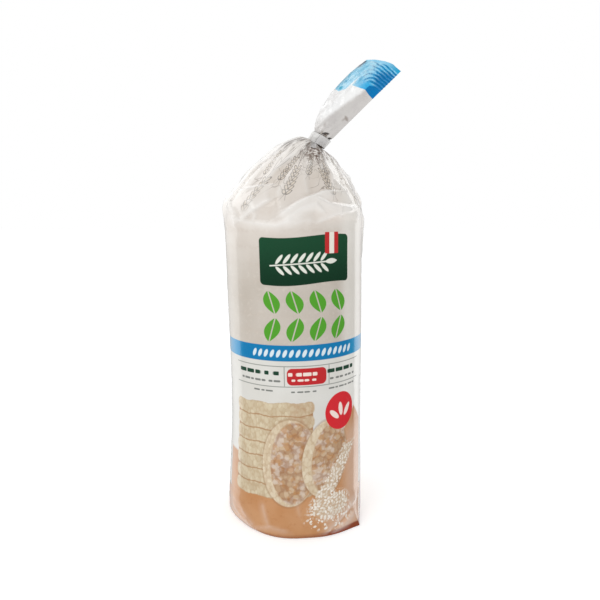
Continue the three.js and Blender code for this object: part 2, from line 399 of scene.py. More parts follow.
def underside_height(x, y):
    """How far the folded base lies above the floor."""
    seal = ramp(np.abs(x - BASE_SEAL_X), BASE_SEAL_HALF, BASE_SEAL_HALF + 0.8)
    ribs = 0.12 * (1 - seal) * (0.5 + 0.5 * np.sin(2 * np.pi * y / BASE_RIB_PITCH))
    tuck = 0.5 * ramp(np.abs(y) - 0.75 * np.abs(x) - 9, -0.4, 0.4)
    sag = 0.35 * (1 + np.sin(x / 7 + 1) * np.sin(y / 9 + 2)) / 2
    return 0.25 * seal + ribs + seal * (tuck + sag) * 0.8


foot = [foot_ring(1, 0), foot_ring(0.3, 0.27), foot_ring(0, 0.8)]
under = []
for share in np.linspace(0, 1, UNDER_ROWS, endpoint=False)[1:]:
    ring = foot[0] * [1 - share, 1 - share, 1] + [BASE_DRIFT * share, 0, 0]
    ring[:, 2] = underside_height(ring[:, 0], ring[:, 1]) * ramp(share, 0.02, 0.12)
    under.append(ring)
rows = np.array([*under[::-1], *foot, *grid])
row_along = np.concatenate([np.linspace(-40, -1, len(under)), [0, 0.3, 0.8], along_rows])
below = np.zeros((len(under) + len(foot), COLUMNS))
ridge_rows, lifted_rows = np.vstack([below, ridges]), np.vstack([below, lifted])
print(rows.shape[0], "rings of", COLUMNS, "points")

# %% [markdown]
# ## From a grid of points to a mesh
#
# The print has to follow the film, so every corner of every face carries a place on the film:
# millimetres round from the front, and millimetres up from the floor. It is stored as a UV map. The
# seam is at the back, and the faces there get the far end's value, so nothing is stretched across.

# %% Mesh builders
WRAP = 45.0  # radius that turns an angle into millimetres round the film
BACK_LINE = np.pi * WRAP  # millimetres round from the front to the seam at the back


def plain_object(name, points, faces):
    mesh = bpy.data.meshes.new(name)
    mesh.from_pydata((points * MM).tolist(), [], faces)
    mesh.validate()
    mesh.polygons.foreach_set("use_smooth", [True] * len(mesh.polygons))
    obj = bpy.data.objects.new(name, mesh)
    bpy.context.scene.collection.objects.link(obj)
    return obj


def store(obj, name, values):
    layer = obj.data.attributes.new(name, "FLOAT", "POINT")
    layer.data.foreach_set("value", np.asarray(values, np.float32).ravel())


def tube_faces(row_count, column_count):
    row_start = np.arange(row_count - 1)[:, None] * column_count
    column = np.arange(column_count)
    low, next_low = row_start + column, row_start + (column + 1) % column_count
    quads = np.stack([low, next_low, next_low + column_count, low + column_count], -1)
    return quads.reshape(-1, 4)


def map_film(obj, corner_places):
    layer = obj.data.uv_layers.new(name="film")
    layer.data.foreach_set("uv", np.asarray(corner_places, np.float32).ravel())


# %% The film from the floor to the neck
ring_count = len(rows)
quads = tube_faces(ring_count, COLUMNS)
points = np.vstack([rows.reshape(-1, 3), rows[0].mean(0)[None], rows[-1].mean(0)[None]])
foot_pole, neck_pole = len(points) - 2, len(points) - 1
following = (np.arange(COLUMNS) + 1) % COLUMNS
last_ring = (ring_count - 1) * COLUMNS
caps = [(foot_pole, int(following[j]), j) for j in range(COLUMNS)]
caps += [(neck_pole, last_ring + j, int(last_ring + following[j])) for j in range(COLUMNS)]
film = plain_object("film_wrap", points, quads.tolist() + caps)

TILT = 0.8  # the print sits this much lower on the left side than on the right
round_film, next_round = WRAP * ANGLES, WRAP * NEXT_ANGLES
print_height = row_along[:, None] - TILT * np.sin(ANGLES)[None]
left = np.broadcast_to(round_film[None], (ring_count - 1, COLUMNS))
right = np.broadcast_to(next_round[None], (ring_count - 1, COLUMNS))
next_height = np.roll(print_height, -1, 1)
corners = np.stack([
    np.stack([left, print_height[:-1]], -1),
    np.stack([right, next_height[:-1]], -1),
    np.stack([right, next_height[1:]], -1),
    np.stack([left, print_height[1:]], -1),
], 2).reshape(-1, 2)
cap_corners = []
for height, order in ((row_along[0], (1, 0)), (row_along[-1], (0, 1))):
    for j in range(COLUMNS):
        ends = (round_film[j], next_round[j])
        cap_corners += [(ends[0], height), (ends[order[0]], height), (ends[order[1]], height)]
map_film(film, np.vstack([corners, cap_corners]))
store(film, "ridge", np.append(ridge_rows.ravel(), [0, 0]))
store(film, "lifted", np.append(lifted_rows.ravel(), [0, 0]))
all_along = np.append(np.repeat(row_along, COLUMNS), [row_along[0], row_along[-1]])
store(film, "along", all_along)
print("film:", len(film.data.polygons), "faces")

# %% [markdown]
# ## A helper for node trees
#
# Materials, the world and Geometry Nodes are all trees of nodes. A small class wraps one output socket,
# so that a formula can be written as Python writes it, and adds the Math nodes behind it. Any other
# node comes from one method.

# %% Node helper
class Wire:
    """One output socket, which can be used in sums as if it were a number."""

    def __init__(self, board, socket):
        self.board, self.socket = board, socket

    def __add__(self, other):
        return self.board.maths("ADD", self, other)

    def __sub__(self, other):
        return self.board.maths("SUBTRACT", self, other)

    def __rsub__(self, other):
        return self.board.maths("SUBTRACT", other, self)

    def __mul__(self, other):
        return self.board.maths("MULTIPLY", self, other)

    def __truediv__(self, other):
        return self.board.maths("DIVIDE", self, other)

    def __abs__(self):
        return self.board.maths("ABSOLUTE", self)

    __radd__, __rmul__ = __add__, __mul__


class Board:
    """A node tree being drawn."""

    def __init__(self, tree):
        self.tree = tree
        tree.nodes.clear()

    def node(self, kind, settings=None, inputs=None):
        made = self.tree.nodes.new(kind)
        for name, value in (settings or {}).items():
            setattr(made, name, value)
        for key, value in (inputs or {}).items():
            self.feed(made.inputs[key], value)
        return made

    def feed(self, socket, value):
        if isinstance(value, Wire):
            self.tree.links.new(value.socket, socket)
        else:
            socket.default_value = value

    def out(self, made, key=0):
        return Wire(self, made.outputs[key])

    def maths(self, operation, *values, clamp=False):
        settings = {"operation": operation, "use_clamp": clamp}
        return self.out(self.node("ShaderNodeMath", settings, dict(enumerate(values))))

    def vector(self, operation, *values, key=0):
        made = self.node("ShaderNodeVectorMath", {"operation": operation}, dict(enumerate(values)))
        return self.out(made, key)

    def scaled(self, vector, factor):
        made = self.node("ShaderNodeVectorMath", {"operation": "SCALE"}, {0: vector, "Scale": factor})
        return self.out(made)

    def joined(self, x, y, z=0.0):
        return self.out(self.node("ShaderNodeCombineXYZ", None, {0: x, 1: y, 2: z}))

    def parts(self, vector):
        made = self.node("ShaderNodeSeparateXYZ", None, {0: vector})
        return [self.out(made, k) for k in range(3)]

    def mix(self, share, under, over):
        """One colour laid over another."""
        made = self.node("ShaderNodeMix", {"data_type": "RGBA"}, {0: share, 6: under, 7: over})
        return self.out(made, 2)

    def rise(self, value, start, end):
        """0 at start, 1 at end, smooth between, also for an end below the start."""
        settings = {"interpolation_type": "SMOOTHSTEP"}
        made = self.node("ShaderNodeMapRange", settings, {0: value, 1: start, 2: end, 3: 0.0, 4: 1.0})
        return self.out(made)

    def band(self, value, start, full, still, end):
        """1 from full to still, 0 before start and after end, smooth between."""
        return self.rise(value, start, full) * self.rise(value, end, still)

    def noise(self, place, scale, detail=2.0, seed=0.0):
        """Cloudy numbers about one half."""
        moved = self.vector("ADD", place, (seed, 1.7 * seed, 0.6 * seed))
        made = self.node("ShaderNodeTexNoise", None, {"Vector": moved, "Scale": scale, "Detail": detail})
        return self.out(made)

    def cells(self, place, size, randomness=1.0):
        """For each point, its own cell's middle, a random number of that cell, and the distance to it."""
        settings = {"voronoi_dimensions": "3D", "feature": "F1"}
        sockets = {"Vector": place, "Scale": 1 / size, "Randomness": randomness}
        made = self.node("ShaderNodeTexVoronoi", settings, sockets)
        chance = self.parts(self.out(made, "Color"))[0]
        return self.out(made, "Position"), chance, self.out(made, "Distance")

    def attribute(self, name):
        return self.out(self.node("ShaderNodeAttribute", {"attribute_name": name}), "Fac")

    def film_place(self):
        """Millimetres on the film, from the UV map."""
        return self.out(self.node("ShaderNodeUVMap", {"uv_map": "film"}))

    def object_place(self):
        """Metres in the object's own space."""
        return self.out(self.node("ShaderNodeTexCoord"), "Object")

    def bumps(self, strength, height):
        """Normals for fine relief, with its height in millimetres."""
        sockets = {"Strength": strength, "Distance": MM, "Height": height}
        return self.out(self.node("ShaderNodeBump", None, sockets))

    def surface(self, sockets):
        """The main shader with these sockets, as the material's surface."""
        shader = self.node("ShaderNodeBsdfPrincipled", None, sockets)
        self.node("ShaderNodeOutputMaterial", None, {"Surface": self.out(shader)})


# %% [markdown]
# ## Cake rims and other things that repeat, with Geometry Nodes
#
# The film is drawn tight over some twenty cakes. Where it clings, each rim shows as a faint band and
# each joint between two cakes as a faint groove. That is a wave along the film's height, so one small
# tree does it: it pushes the film in at every joint, by an amount that a stored attribute allows. The
# same tree makes the fine ribs of a heat seal, with other sizes.

# %% What every tree starts and ends with
def open_tree(name, **kinds):
    """A tree with these inputs, the identifier of each input, its board, and the node they enter by."""
    tree = bpy.data.node_groups.new(name, "GeometryNodeTree")
    identifiers = {}
    for label, kind in {"Geometry": "Geometry", **kinds, "Material": "Material"}.items():
        socket = tree.interface.new_socket(label, in_out="INPUT", socket_type="NodeSocket" + kind)
        identifiers[label] = socket.identifier
    tree.interface.new_socket("Geometry", in_out="OUTPUT", socket_type="NodeSocketGeometry")
    board = Board(tree)
    return tree, identifiers, board, board.node("NodeGroupInput")


def close_tree(board, entry, geometry):
    """Makes instances real, sets the material and hands the geometry out."""
    whole = board.node("GeometryNodeRealizeInstances", None, {"Geometry": geometry})
    painted = board.node("GeometryNodeSetMaterial", None, {
        "Geometry": board.out(whole),
        "Material": board.out(entry, "Material"),
    })
    board.node("NodeGroupOutput", None, {"Geometry": board.out(painted)})


def grown(obj, tree, identifiers, values):
    """The plain mesh that a tree makes from an object. values: an input's label to its value."""
    modifier = obj.modifiers.new("made", "NODES")
    modifier.node_group = tree
    for label, value in values.items():
        modifier[identifiers[label]] = value
    evaluated = obj.evaluated_get(bpy.context.evaluated_depsgraph_get())
    return bpy.data.meshes.new_from_object(evaluated)


# %% Tree that presses a repeating groove into a surface
def groove_tree(name, driver, mask):
    """Moves points against their normals, in grooves spaced along one attribute and weighed by another."""
    tree, identifiers, board, entry = open_tree(name, Pitch="Float", Depth="Float", Sharpness="Float")
    read = {"data_type": "FLOAT"}
    place = board.out(board.node("GeometryNodeInputNamedAttribute", read, {"Name": driver}))
    weight = board.out(board.node("GeometryNodeInputNamedAttribute", read, {"Name": mask}))
    wave = board.maths("COSINE", place * (2 * np.pi) / board.out(entry, "Pitch")) * 0.5 + 0.5
    groove = board.maths("POWER", wave, board.out(entry, "Sharpness"))
    push = groove * weight * board.out(entry, "Depth") * -1.0
    normal = board.out(board.node("GeometryNodeInputNormal"))
    offset = board.scaled(normal, push)
    moved = board.node("GeometryNodeSetPosition", None, {
        "Geometry": board.out(entry, "Geometry"),
        "Offset": offset,
    })
    close_tree(board, entry, board.out(moved))
    return tree, identifiers


def press_grooves(obj, name, driver, mask, values):
    """Runs the tree on a piece, which keeps the result as its own plain mesh."""
    mesh = grown(obj, *groove_tree(name, driver, mask), values)
    obj.modifiers.clear()
    old, obj.data = obj.data, mesh
    bpy.data.meshes.remove(old)
    mesh.name = obj.name


film_material = bpy.data.materials.new("printed_milky_film")
tail_material = bpy.data.materials.new("tail_film")
tape_material = bpy.data.materials.new("white_tape")

# %% Rims of the cakes under the film
CAKE_PITCH = 10.25
RIM_DEPTH = 0.22
all_angles = np.append(np.tile(ANGLES, ring_count), [0, 0])
patches = np.sin(2.3 * all_angles + all_along / 31 + 1.0) * np.sin(1.3 * all_angles - all_along / 47)
sides = 0.25 + 0.75 * np.abs(np.sin(all_angles)) ** 3
on_stack = ramp(all_along, 4, 14) * (1 - ramp(all_along, 196, 204))
store(film, "cling", (0.5 + 0.5 * patches) * sides * on_stack)
press_grooves(film, "cake_rims", "along", "cling", {
    "Pitch": CAKE_PITCH,
    "Depth": RIM_DEPTH * MM,
    "Sharpness": 5.0,
    "Material": film_material,
})
print("cake rims pressed into", film.name)

# %% [markdown]
# ## The tail
#
# Above the tape the film fans out again. It is still folded as it was drawn through the tape: one long
# sheet that goes back and forth like a concertina, seven runs deep. The front run is what the camera
# sees. It is smooth on the right, turns back along a fold, and is crinkled on the left. The sheet is
# made as a grid whose points run along the concertina one way and from tape to mouth the other, and
# gets its thickness last.

# %% Outline of the tail
TAIL_FOOT = -9  # the tail starts this far below the point where its straight right edge starts
TAIL_EDGE = np.array([24.2, 252.2])  # x and z of that point
TAIL_ALONG = np.array([0.7193, 0.6947])
TAIL_ACROSS = np.array([-0.6947, 0.7193])
SEAL_LENGTH = 20.0
RIB_PITCH, RIB_DEPTH = 2.05, 0.42


def left_edge(along):
    steps = [TAIL_FOOT, -5, -4, -3, -0.5, 2, 9.4, 19.6, 27.8, 37.4, 44, 50.4]
    return np.interp(along, steps, [9.5, 10.8, 12.0, 13.3, 15.2, 16.5, 19.2, 21.5, 22.1, 22.1, 21.2, 20.2])


def right_edge(along):
    return np.interp(along, [TAIL_FOOT, -2.2, 0.5], [1.7, 1.3, 0])


def mouth_at(across):
    return np.interp(across, [0, 6.5, 11.8, 16.6, 20.2, 23], [60.4, 59.3, 56.7, 53.4, 50.0, 46.5])


# %% Concertina sheet
# Points across each run. The front and back runs show, and the rest hardly do.
RUN_POINTS = (104, 12, 12, 12, 12, 12, 56)
RUNS = len(RUN_POINTS)
tail_rng = np.random.default_rng(5)
sheet_across, sheet_layer, left_short, right_short = [], [], [], []
for run, count in enumerate(RUN_POINTS):
    share = np.linspace(0, 1, count)
    turned = 0.5 - 0.5 * np.cos(np.pi * np.clip((share - 0.93) / 0.07, 0, 1))
    sheet_across.append(share if run % 2 == 0 else 1 - share)
    sheet_layer.append(run + 0.5 * turned - 0.5 * turned[::-1] * (run > 0))
    inset = tail_rng.uniform(0.05, 0.14) if 0 < run < RUNS - 1 else 0.03 * (run > 0)
    left_short.append(np.full(count, inset))
    right_short.append(np.full(count, 0.0 if run == 0 else 0.045))
sheet_across, sheet_layer, left_short, right_short = map(
    np.concatenate, (sheet_across, sheet_layer, left_short, right_short))

MIDDLE_WIDTH = 20.5
guess = MIDDLE_WIDTH * (right_short + sheet_across * (1 - left_short - right_short))[None]
below_seal = np.linspace(0, 1, 66, endpoint=False)[:, None]
in_seal = np.linspace(SEAL_LENGTH, 0, 92)[:, None]
seal_start = mouth_at(guess) - SEAL_LENGTH
tail_along = np.vstack([TAIL_FOOT + below_seal * (seal_start - TAIL_FOOT), mouth_at(guess) - in_seal])
edge_left, edge_right = left_edge(tail_along), right_edge(tail_along)
spread = right_short + sheet_across * (1 - left_short * ramp(tail_along, -3, 12) - right_short)
tail_across = edge_right + (edge_left - edge_right) * spread
print("concertina sheet:", tail_across.shape)

# %% Folds of the tail
# How far the front face lies back, every 2 mm from right to left.
FACE_PROFILE = [0.5, 0.5, 0.1, -1.0, -2.0, -1.7, -1.1, -0.4, 0.6, 1.8, 3.1, 4.4, 5.6]
LONG_FOLD, FOLD_SLOPE = 12.5, 0.16  # the long fold slants across the face


def tail_bend(across, along):
    """How far the front of the bundle lies behind the flat face, in millimetres."""
    calm = (1 - 0.45 * ramp(along, 34, 46)) * (0.15 + 0.85 * ramp(along, -2, 10))
    fold = LONG_FOLD - FOLD_SLOPE * (np.clip(along, 0, 33) - 3)
    shifted = np.where(across < fold, across * 8 / fold, 8 + (across - fold) * 16 / (24 - fold))
    place = np.clip(shifted / 2.0, 0, len(FACE_PROFILE) - 1.001).ravel()
    face = smooth_rows(np.array(FACE_PROFILE)[:, None], place)[:, 0].reshape(across.shape)
    second_fold = 0.45 * np.clip(1 - np.abs(across - 15.7) / 1.3, 0, 1)
    second_fold = second_fold * ramp(along, 3, 12) * (1 - ramp(along, 34, 42))
    waves = 0.3 * np.sin(along / 8.5 + across / 5 + 0.6) * ramp(along, 2, 14)
    return face * calm - second_fold + waves


def crinkle(across, along, seed, count, size, area):
    """Small tents scattered over the tail, as heights."""
    rng = np.random.default_rng(seed)
    height = np.zeros(across.shape)
    for _ in range(count):
        a, b = rng.uniform(*area[0]), rng.uniform(*area[1])
        heading, length, reach = rng.normal(1.35, 0.7), rng.uniform(3, 9), rng.uniform(0.9, 2.2)
        tall = rng.choice([-1, 1]) * rng.uniform(*size)
        dx, dy = across - a, along - b
        over = np.abs(dx * np.sin(heading) - dy * np.cos(heading))
        run = np.abs(dx * np.cos(heading) + dy * np.sin(heading))
        height += tall * np.clip(1 - over / reach, 0, 1) * np.clip(1 - run / length, 0, 1)
    return height


half_depth = np.interp(tail_along, [TAIL_FOOT, -4.5, -1.5, 4, 30, 61], [3.6, 3.9, 5.0, 4.6, 4.0, 3.0])
RUN_DEPTHS = [-1, -0.78, -0.5, -0.12, 0.16, 0.6, 1]  # front to back; some runs lie close
layer_depth = np.interp(sheet_layer, range(RUNS), RUN_DEPTHS)
near_tape = np.exp(-np.maximum(tail_along + 4, 0) / 7) * ramp(tail_along, -6, -1)
gather = 0.6 * near_tape * triangle(1.9 * tail_across + 0.25 * tail_along + 0.4)
behind = tail_bend(tail_across, tail_along) * (0.72 - 0.28 * layer_depth)
wrinkles = crinkle(tail_across, tail_along, 21, 110, (0.12, 0.42), ((12.5, 22), (-2, 56)))
wrinkles += crinkle(tail_across, tail_along, 22, 26, (0.05, 0.16), ((0, 16), (-2, 38)))
wrinkles += crinkle(tail_across, tail_along, 23, 60, (0.05, 0.22), ((6, 18), (34, 56)))
front_only = ramp(-layer_depth, -1.2, 0.6)
rounding = 1 - 0.45 * (2 * sheet_across - 1) ** 2 * (1 - ramp(tail_along, -1, 9))
tail_y = half_depth * layer_depth * rounding + behind + gather + wrinkles * (0.35 + 0.65 * front_only)
spine = TAIL_EDGE + tail_along[..., None] * TAIL_ALONG + tail_across[..., None] * TAIL_ACROSS
tail_grid = np.stack([spine[..., 0], tail_y, spine[..., 1]], -1)

# %% The tail as a thin closed sheet
SHEET = 0.14  # thickness, a little more than real film so that it prints and casts shadows cleanly
tail_normals = normals_of(tail_grid, False)
front_side = tail_grid + tail_normals * SHEET / 2
back_side = tail_grid - tail_normals * SHEET / 2
tail_rows, tail_columns = tail_grid.shape[:2]


def slab_faces(row_count, column_count):
    """Faces of a thin slab: a front grid, a back grid and the rim that joins them."""
    low = (np.arange(row_count - 1)[:, None] * column_count + np.arange(column_count - 1)).reshape(-1)
    front = np.stack([low, low + 1, low + 1 + column_count, low + column_count], -1)
    back = front[:, ::-1] + row_count * column_count
    ring = np.concatenate([
        np.arange(column_count - 1),
        np.arange(row_count - 1) * column_count + column_count - 1,
        (row_count - 1) * column_count + np.arange(column_count - 1, 0, -1),
        np.arange(row_count - 1, 0, -1) * column_count,
    ])
    after = np.roll(ring, -1)
    rim = np.stack([after, ring, ring + row_count * column_count, after + row_count * column_count], -1)
    return np.vstack([front, back, rim])


tail_faces = slab_faces(tail_rows, tail_columns)
tail_points = np.vstack([front_side.reshape(-1, 3), back_side.reshape(-1, 3)])
tail = plain_object("film_tail", tail_points, tail_faces.tolist())
tail_uv = np.stack([tail_across.ravel(), tail_along.ravel()], -1)
map_film(tail, np.vstack([tail_uv, tail_uv])[tail_faces.ravel()])
from_top = mouth_at(tail_across) - tail_along
from_left = left_edge(tail_along) - tail_across
straight = 60.7 - 0.15 * tail_across - tail_along
turned_down = from_left + 5.0 + 0.6 * np.maximum(0, 27 - tail_along)
BEND = 2.2  # how softly the ribs turn down at the left
to_mouth = -BEND * np.log(np.exp(-straight / BEND) + np.exp(-turned_down / BEND))
to_mouth += 0.12 * np.sin(tail_across * 1.3 + tail_along * 0.5)
seal = ramp(-from_top, -SEAL_LENGTH + 0.5, -SEAL_LENGTH + 3)
seal = np.maximum(seal, ramp(tail_along, 24, 30) * ramp(-from_left, -6, -4.5)) * ramp(from_top, 1.6, 2.6)
seal *= 0.55 + 0.45 * ramp(tail_across + 0.27 * (tail_along - 36), 6, 11)
to_mouth, seal = to_mouth.ravel(), seal.ravel()
store(tail, "from_left", np.tile(from_left.ravel(), 2))
store(tail, "to_mouth", np.tile(to_mouth, 2))
store(tail, "seal", np.concatenate([seal, -seal]))  # the back face moves the same way as the front one
press_grooves(tail, "seal_ribs", "to_mouth", "seal", {
    "Pitch": RIB_PITCH,
    "Depth": RIB_DEPTH * MM,
    "Sharpness": 1.1,
    "Material": tail_material,
})
print("tail:", len(tail.data.polygons), "faces")

# %% [markdown]
# ## The seam down the back
#
# A pack like this is one flat sheet bent into a tube and sealed where its edges overlap, down the
# middle of the back. The overlap is a strip 9 mm wide, a little proud of the tube, with the fine ribs
# of the sealing wheel across it. It follows the film's own sections and creases, so it bends over the
# dome with them and runs into the neck.

# %% Lap seam
SEAM_WIDTH, SEAM_PROUD, SEAM_SUNK = 9.0, 0.35, 0.4
SEAM_RIB_PITCH, SEAM_RIB_DEPTH = 1.6, 0.16
SEAM_COLUMNS = 12
seam_along = np.concatenate([np.linspace(2, 206, 500, endpoint=False), np.linspace(206, 263, 120)])
seam_side = np.linspace(-0.5, 0.5, SEAM_COLUMNS) * SEAM_WIDTH
back_angles = np.pi + seam_side / WRAP
seam_rings = []
for along in seam_along:
    section = smooth_rows(SECTIONS, np.array([np.interp(along, travelled, places)]))
    ring = film_rings(section, back_angles, pleats(back_angles[None], np.array([[along]])))
    seam_rings.append(ring[0])
seam_grid = np.array(seam_rings)
seam_normals = normals_of(seam_grid, False)
angles_from_front = np.roll(ANGLES, COLUMNS // 2) % (2 * np.pi)


def at_seam(film_values):
    """Values of the film's own rows and columns, read off where the seam lies."""
    turned = np.roll(film_values, COLUMNS // 2, 1)
    rows_here = np.array([np.interp(back_angles, angles_from_front, row) for row in turned])
    return np.stack([np.interp(seam_along, along_rows, column) for column in rows_here.T], 1)


film_lift = at_seam(lift)[..., None]
PROUD_HEIGHTS = [0.2, SEAM_PROUD + 0.1, SEAM_PROUD + 0.1, 0.7, 0.5]
proud = np.interp(seam_along, [2, 8, 196, 215, 263], PROUD_HEIGHTS)[:, None, None]
lap = 0.25 * np.sin(seam_along / 23)[:, None, None] * np.linspace(0, 1, SEAM_COLUMNS)[None, :, None]
proud_side = seam_grid + seam_normals * (film_lift + proud + lap)
sunk_side = seam_grid + seam_normals * (film_lift - SEAM_SUNK)
seam_faces = slab_faces(*seam_grid.shape[:2])
seam_points = np.vstack([proud_side.reshape(-1, 3), sunk_side.reshape(-1, 3)])
seam = plain_object("back_seam", seam_points, seam_faces.tolist())
PRINT_SHIFT = 0.7  # the print on the lap doesn't quite meet the print beside it
seam_place = np.broadcast_arrays(BACK_LINE + seam_side[None], seam_along[:, None] + PRINT_SHIFT)
seam_place = np.stack(seam_place, -1).reshape(-1, 2)
map_film(seam, np.vstack([seam_place, seam_place])[seam_faces.ravel()])

# %% Ribs of the seam
seam_weight = np.sin(np.pi * (seam_side / SEAM_WIDTH + 0.5))[None]
seam_weight = np.broadcast_to(seam_weight, seam_grid.shape[:2]).ravel()
store(seam, "seal", np.concatenate([seam_weight, seam_weight * 0]))
store(seam, "along", np.tile(np.repeat(seam_along, SEAM_COLUMNS), 2))
store(seam, "lifted", np.tile(at_seam(lifted).ravel(), 2))
store(seam, "ridge", np.tile(at_seam(ridges).ravel(), 2))
press_grooves(seam, "seam_ribs", "along", "seal", {
    "Pitch": SEAM_RIB_PITCH,
    "Depth": SEAM_RIB_DEPTH * MM,
    "Sharpness": 1.0,
    "Material": film_material,
})
print("back seam:", len(seam.data.polygons), "faces")

# %% [markdown]
# ## The tape
#
# A strip of white tape goes one and a half times round the neck and ends at the front, where its free
# end shows as a line. A strip that follows a path is a sweep, so Geometry Nodes makes it: a flat
# outline is carried along a spiral, tipped to the lean of the neck and moved onto it. Its first end
# peeps out below, laid on the pleats.

# %% Spiral path of the tape
TAPE_WIDTH, TAPE_START, TAPE_THICKNESS = 6.4, 1.2, 0.16
tape_angles = np.linspace(np.pi, -2 * np.pi - 0.12, 150)
wound = (tape_angles[0] - tape_angles) / (2 * np.pi)
free_end = ramp(wound, wound[-1] - 0.07, wound[-1])
tape_out = 0.47 + 0.42 * wound + 0.35 * free_end
climb = 1.2 * np.sin(tape_angles) - 1.6
mid_flare = NECK_FLARE * 0.5
tape_wide = NECK_HALF_WIDTH * (1 + NECK_FOLD) + mid_flare + tape_out
tape_deep = NECK_HALF_DEPTH * (1 + NECK_FOLD) + mid_flare + tape_out
pinch = 1 + 0.012 * np.sin(5 * tape_angles + 1) + 0.008 * np.sin(9 * tape_angles)
spiral_x = tape_wide * pinch * np.sin(tape_angles)
spiral_y = -tape_deep * pinch * np.cos(tape_angles)
spiral = np.stack([spiral_x, spiral_y, climb], -1)
path_data = bpy.data.curves.new("tape_path", "CURVE")
path_data.dimensions = "3D"
line = path_data.splines.new("POLY")
line.points.add(len(spiral) - 1)
line.points.foreach_set("co", np.hstack([spiral * MM, np.ones((len(spiral), 1))]).ravel())
tape_path = bpy.data.objects.new("neck_band", path_data)
bpy.context.scene.collection.objects.link(tape_path)


# %% Tree that sweeps the strip
def strip_tree():
    """Carries a flat outline along a path, then flares, ruffles, tips and moves the strip."""
    kinds = {"Width": "Float", "Thickness": "Float", "Lean": "Float", "Flare": "Float", "Place": "Vector"}
    tree, identifiers, board, entry = open_tree("wound_strip", **kinds)
    path = board.out(entry, "Geometry")
    upright = board.node("GeometryNodeSetCurveNormal", {"mode": "Z_UP"}, {"Curve": path})
    outline = board.node("GeometryNodeCurvePrimitiveQuadrilateral", None, {
        "Width": board.out(entry, "Thickness"),
        "Height": board.out(entry, "Width"),
    })
    fine = board.node("GeometryNodeResampleCurve", None, {"Curve": board.out(outline), "Count": 24})
    swept = board.node("GeometryNodeCurveToMesh", None, {
        "Curve": board.out(upright),
        "Profile Curve": board.out(fine),
        "Fill Caps": True,
    })
    x, y, height = board.parts(board.out(board.node("GeometryNodeInputPosition")))
    widen = height * board.out(entry, "Flare") + 1.0
    stretch = board.joined(x * widen, y * widen, height)
    ruffle = board.node("ShaderNodeTexNoise", None, {"Scale": 260.0, "Detail": 2.0})
    shake = board.vector("SUBTRACT", board.out(ruffle, "Color"), (0.5, 0.5, 0.5))
    small = board.scaled(shake, 0.00035)
    flared = board.node("GeometryNodeSetPosition", None, {
        "Geometry": board.out(swept),
        "Position": stretch,
        "Offset": small,
    })
    turn = board.joined(0.0, board.out(entry, "Lean"))
    moved = board.node("GeometryNodeTransform", None, {
        "Geometry": board.out(flared),
        "Translation": board.out(entry, "Place"),
        "Rotation": turn,
    })
    close_tree(board, entry, board.out(moved))
    return tree, identifiers


# %% Winding the tape
TAPE_FLARE = 10.2  # share wider, for each metre up the strip
lean = float(np.radians(NECK_LEAN))
neck_middle = NECK_START + (TAPE_START + TAPE_WIDTH / 2) * np.array([np.sin(lean), np.cos(lean)])
NECK_PLACE = (neck_middle[0] * MM, 0.0, neck_middle[1] * MM)
tape_mesh = grown(tape_path, *strip_tree(), {
    "Width": TAPE_WIDTH * MM,
    "Thickness": TAPE_THICKNESS * MM,
    "Lean": lean,
    "Flare": TAPE_FLARE,
    "Place": NECK_PLACE,
    "Material": tape_material,
})
bpy.data.objects.remove(tape_path)
tape = bpy.data.objects.new("neck_band", tape_mesh)
bpy.context.scene.collection.objects.link(tape)
print("tape:", len(tape.data.polygons), "faces")

# %% First end of the tape, laid on the pleats below
PEEP_TOP = np.array([[10.9, 251.4], [14.6, 249.4]])  # x and z at the left and right
PEEP_FOOT = np.array([[10.2, 245.7], [13.1, 244.9]])
film_points, film_faces = [v.co for v in film.data.vertices], [p.vertices for p in film.data.polygons]
film_surface = BVHTree.FromPolygons(film_points, film_faces)
down, sideways = np.linspace(0, 1, 16)[:, None, None], np.linspace(0, 1, 12)[None, :, None]
peep = (PEEP_TOP[0] * (1 - sideways) + PEEP_TOP[1] * sideways) * (1 - down)
peep = peep + (PEEP_FOOT[0] * (1 - sideways) + PEEP_FOOT[1] * sideways) * down
depth = np.zeros(peep.shape[:2])
for row, column in np.ndindex(*depth.shape):
    x, z = peep[row, column]
    hit = film_surface.ray_cast(Vector((x * MM, -0.2, z * MM)), Vector((0, 1, 0)))[0]
    depth[row, column] = hit.y / MM
shifts = (-2, -1, 0, 1, 2)
spanned = np.minimum.reduce([np.roll(depth, k, 1)[:, 2:-2] for k in shifts])  # it bridges small pleats
depth = np.pad(spanned, ((0, 0), (2, 2)), mode="edge") - 0.2
peep_grid = np.stack([peep[..., 0], depth, peep[..., 1]], -1)
peep_normals = normals_of(peep_grid, False)
if peep_normals[..., 1].mean() > 0:
    peep_grid, peep_normals = peep_grid[:, ::-1], normals_of(peep_grid[:, ::-1], False)
peep_sides = [peep_grid + peep_normals * TAPE_THICKNESS, peep_grid]
peep_points = np.vstack([side.reshape(-1, 3) for side in peep_sides])
tape_end = plain_object("neck_band_end", peep_points, slab_faces(*peep_grid.shape[:2]).tolist())
tape_end.data.materials.append(tape_material)
print("tape end:", len(tape_end.data.polygons), "faces,", round(float(-depth.min()), 1), "mm forward")

# %% Riding and replacing
for piece, slot, node in (
    (film, "printed_film", "film_pack"),
    (tail, "printed_film", "film_pack"),
    (seam, "printed_film", "film_pack"),
    (tape, "tape", "neck_tape"),
    (tape_end, "tape", "neck_tape"),
):
    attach(piece, "root")
    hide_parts(node)


# %% [markdown]
# ## Inks
#
# The print is drawn by formulas, not by a picture. Every shape is a distance in millimetres from its
# own outline: less than nothing inside, more outside. A distance turns into a mask with a soft edge,
# and a mask lays one ink over what is already there, as a printing press lays down one plate after
# another. Moving, turning or repeating a shape is done to its coordinates, so one shape can serve for a
# whole row.

# %% Colours as they look under the studio light
LIGHT_LEVEL, WHITEST = 0.95, 0.93


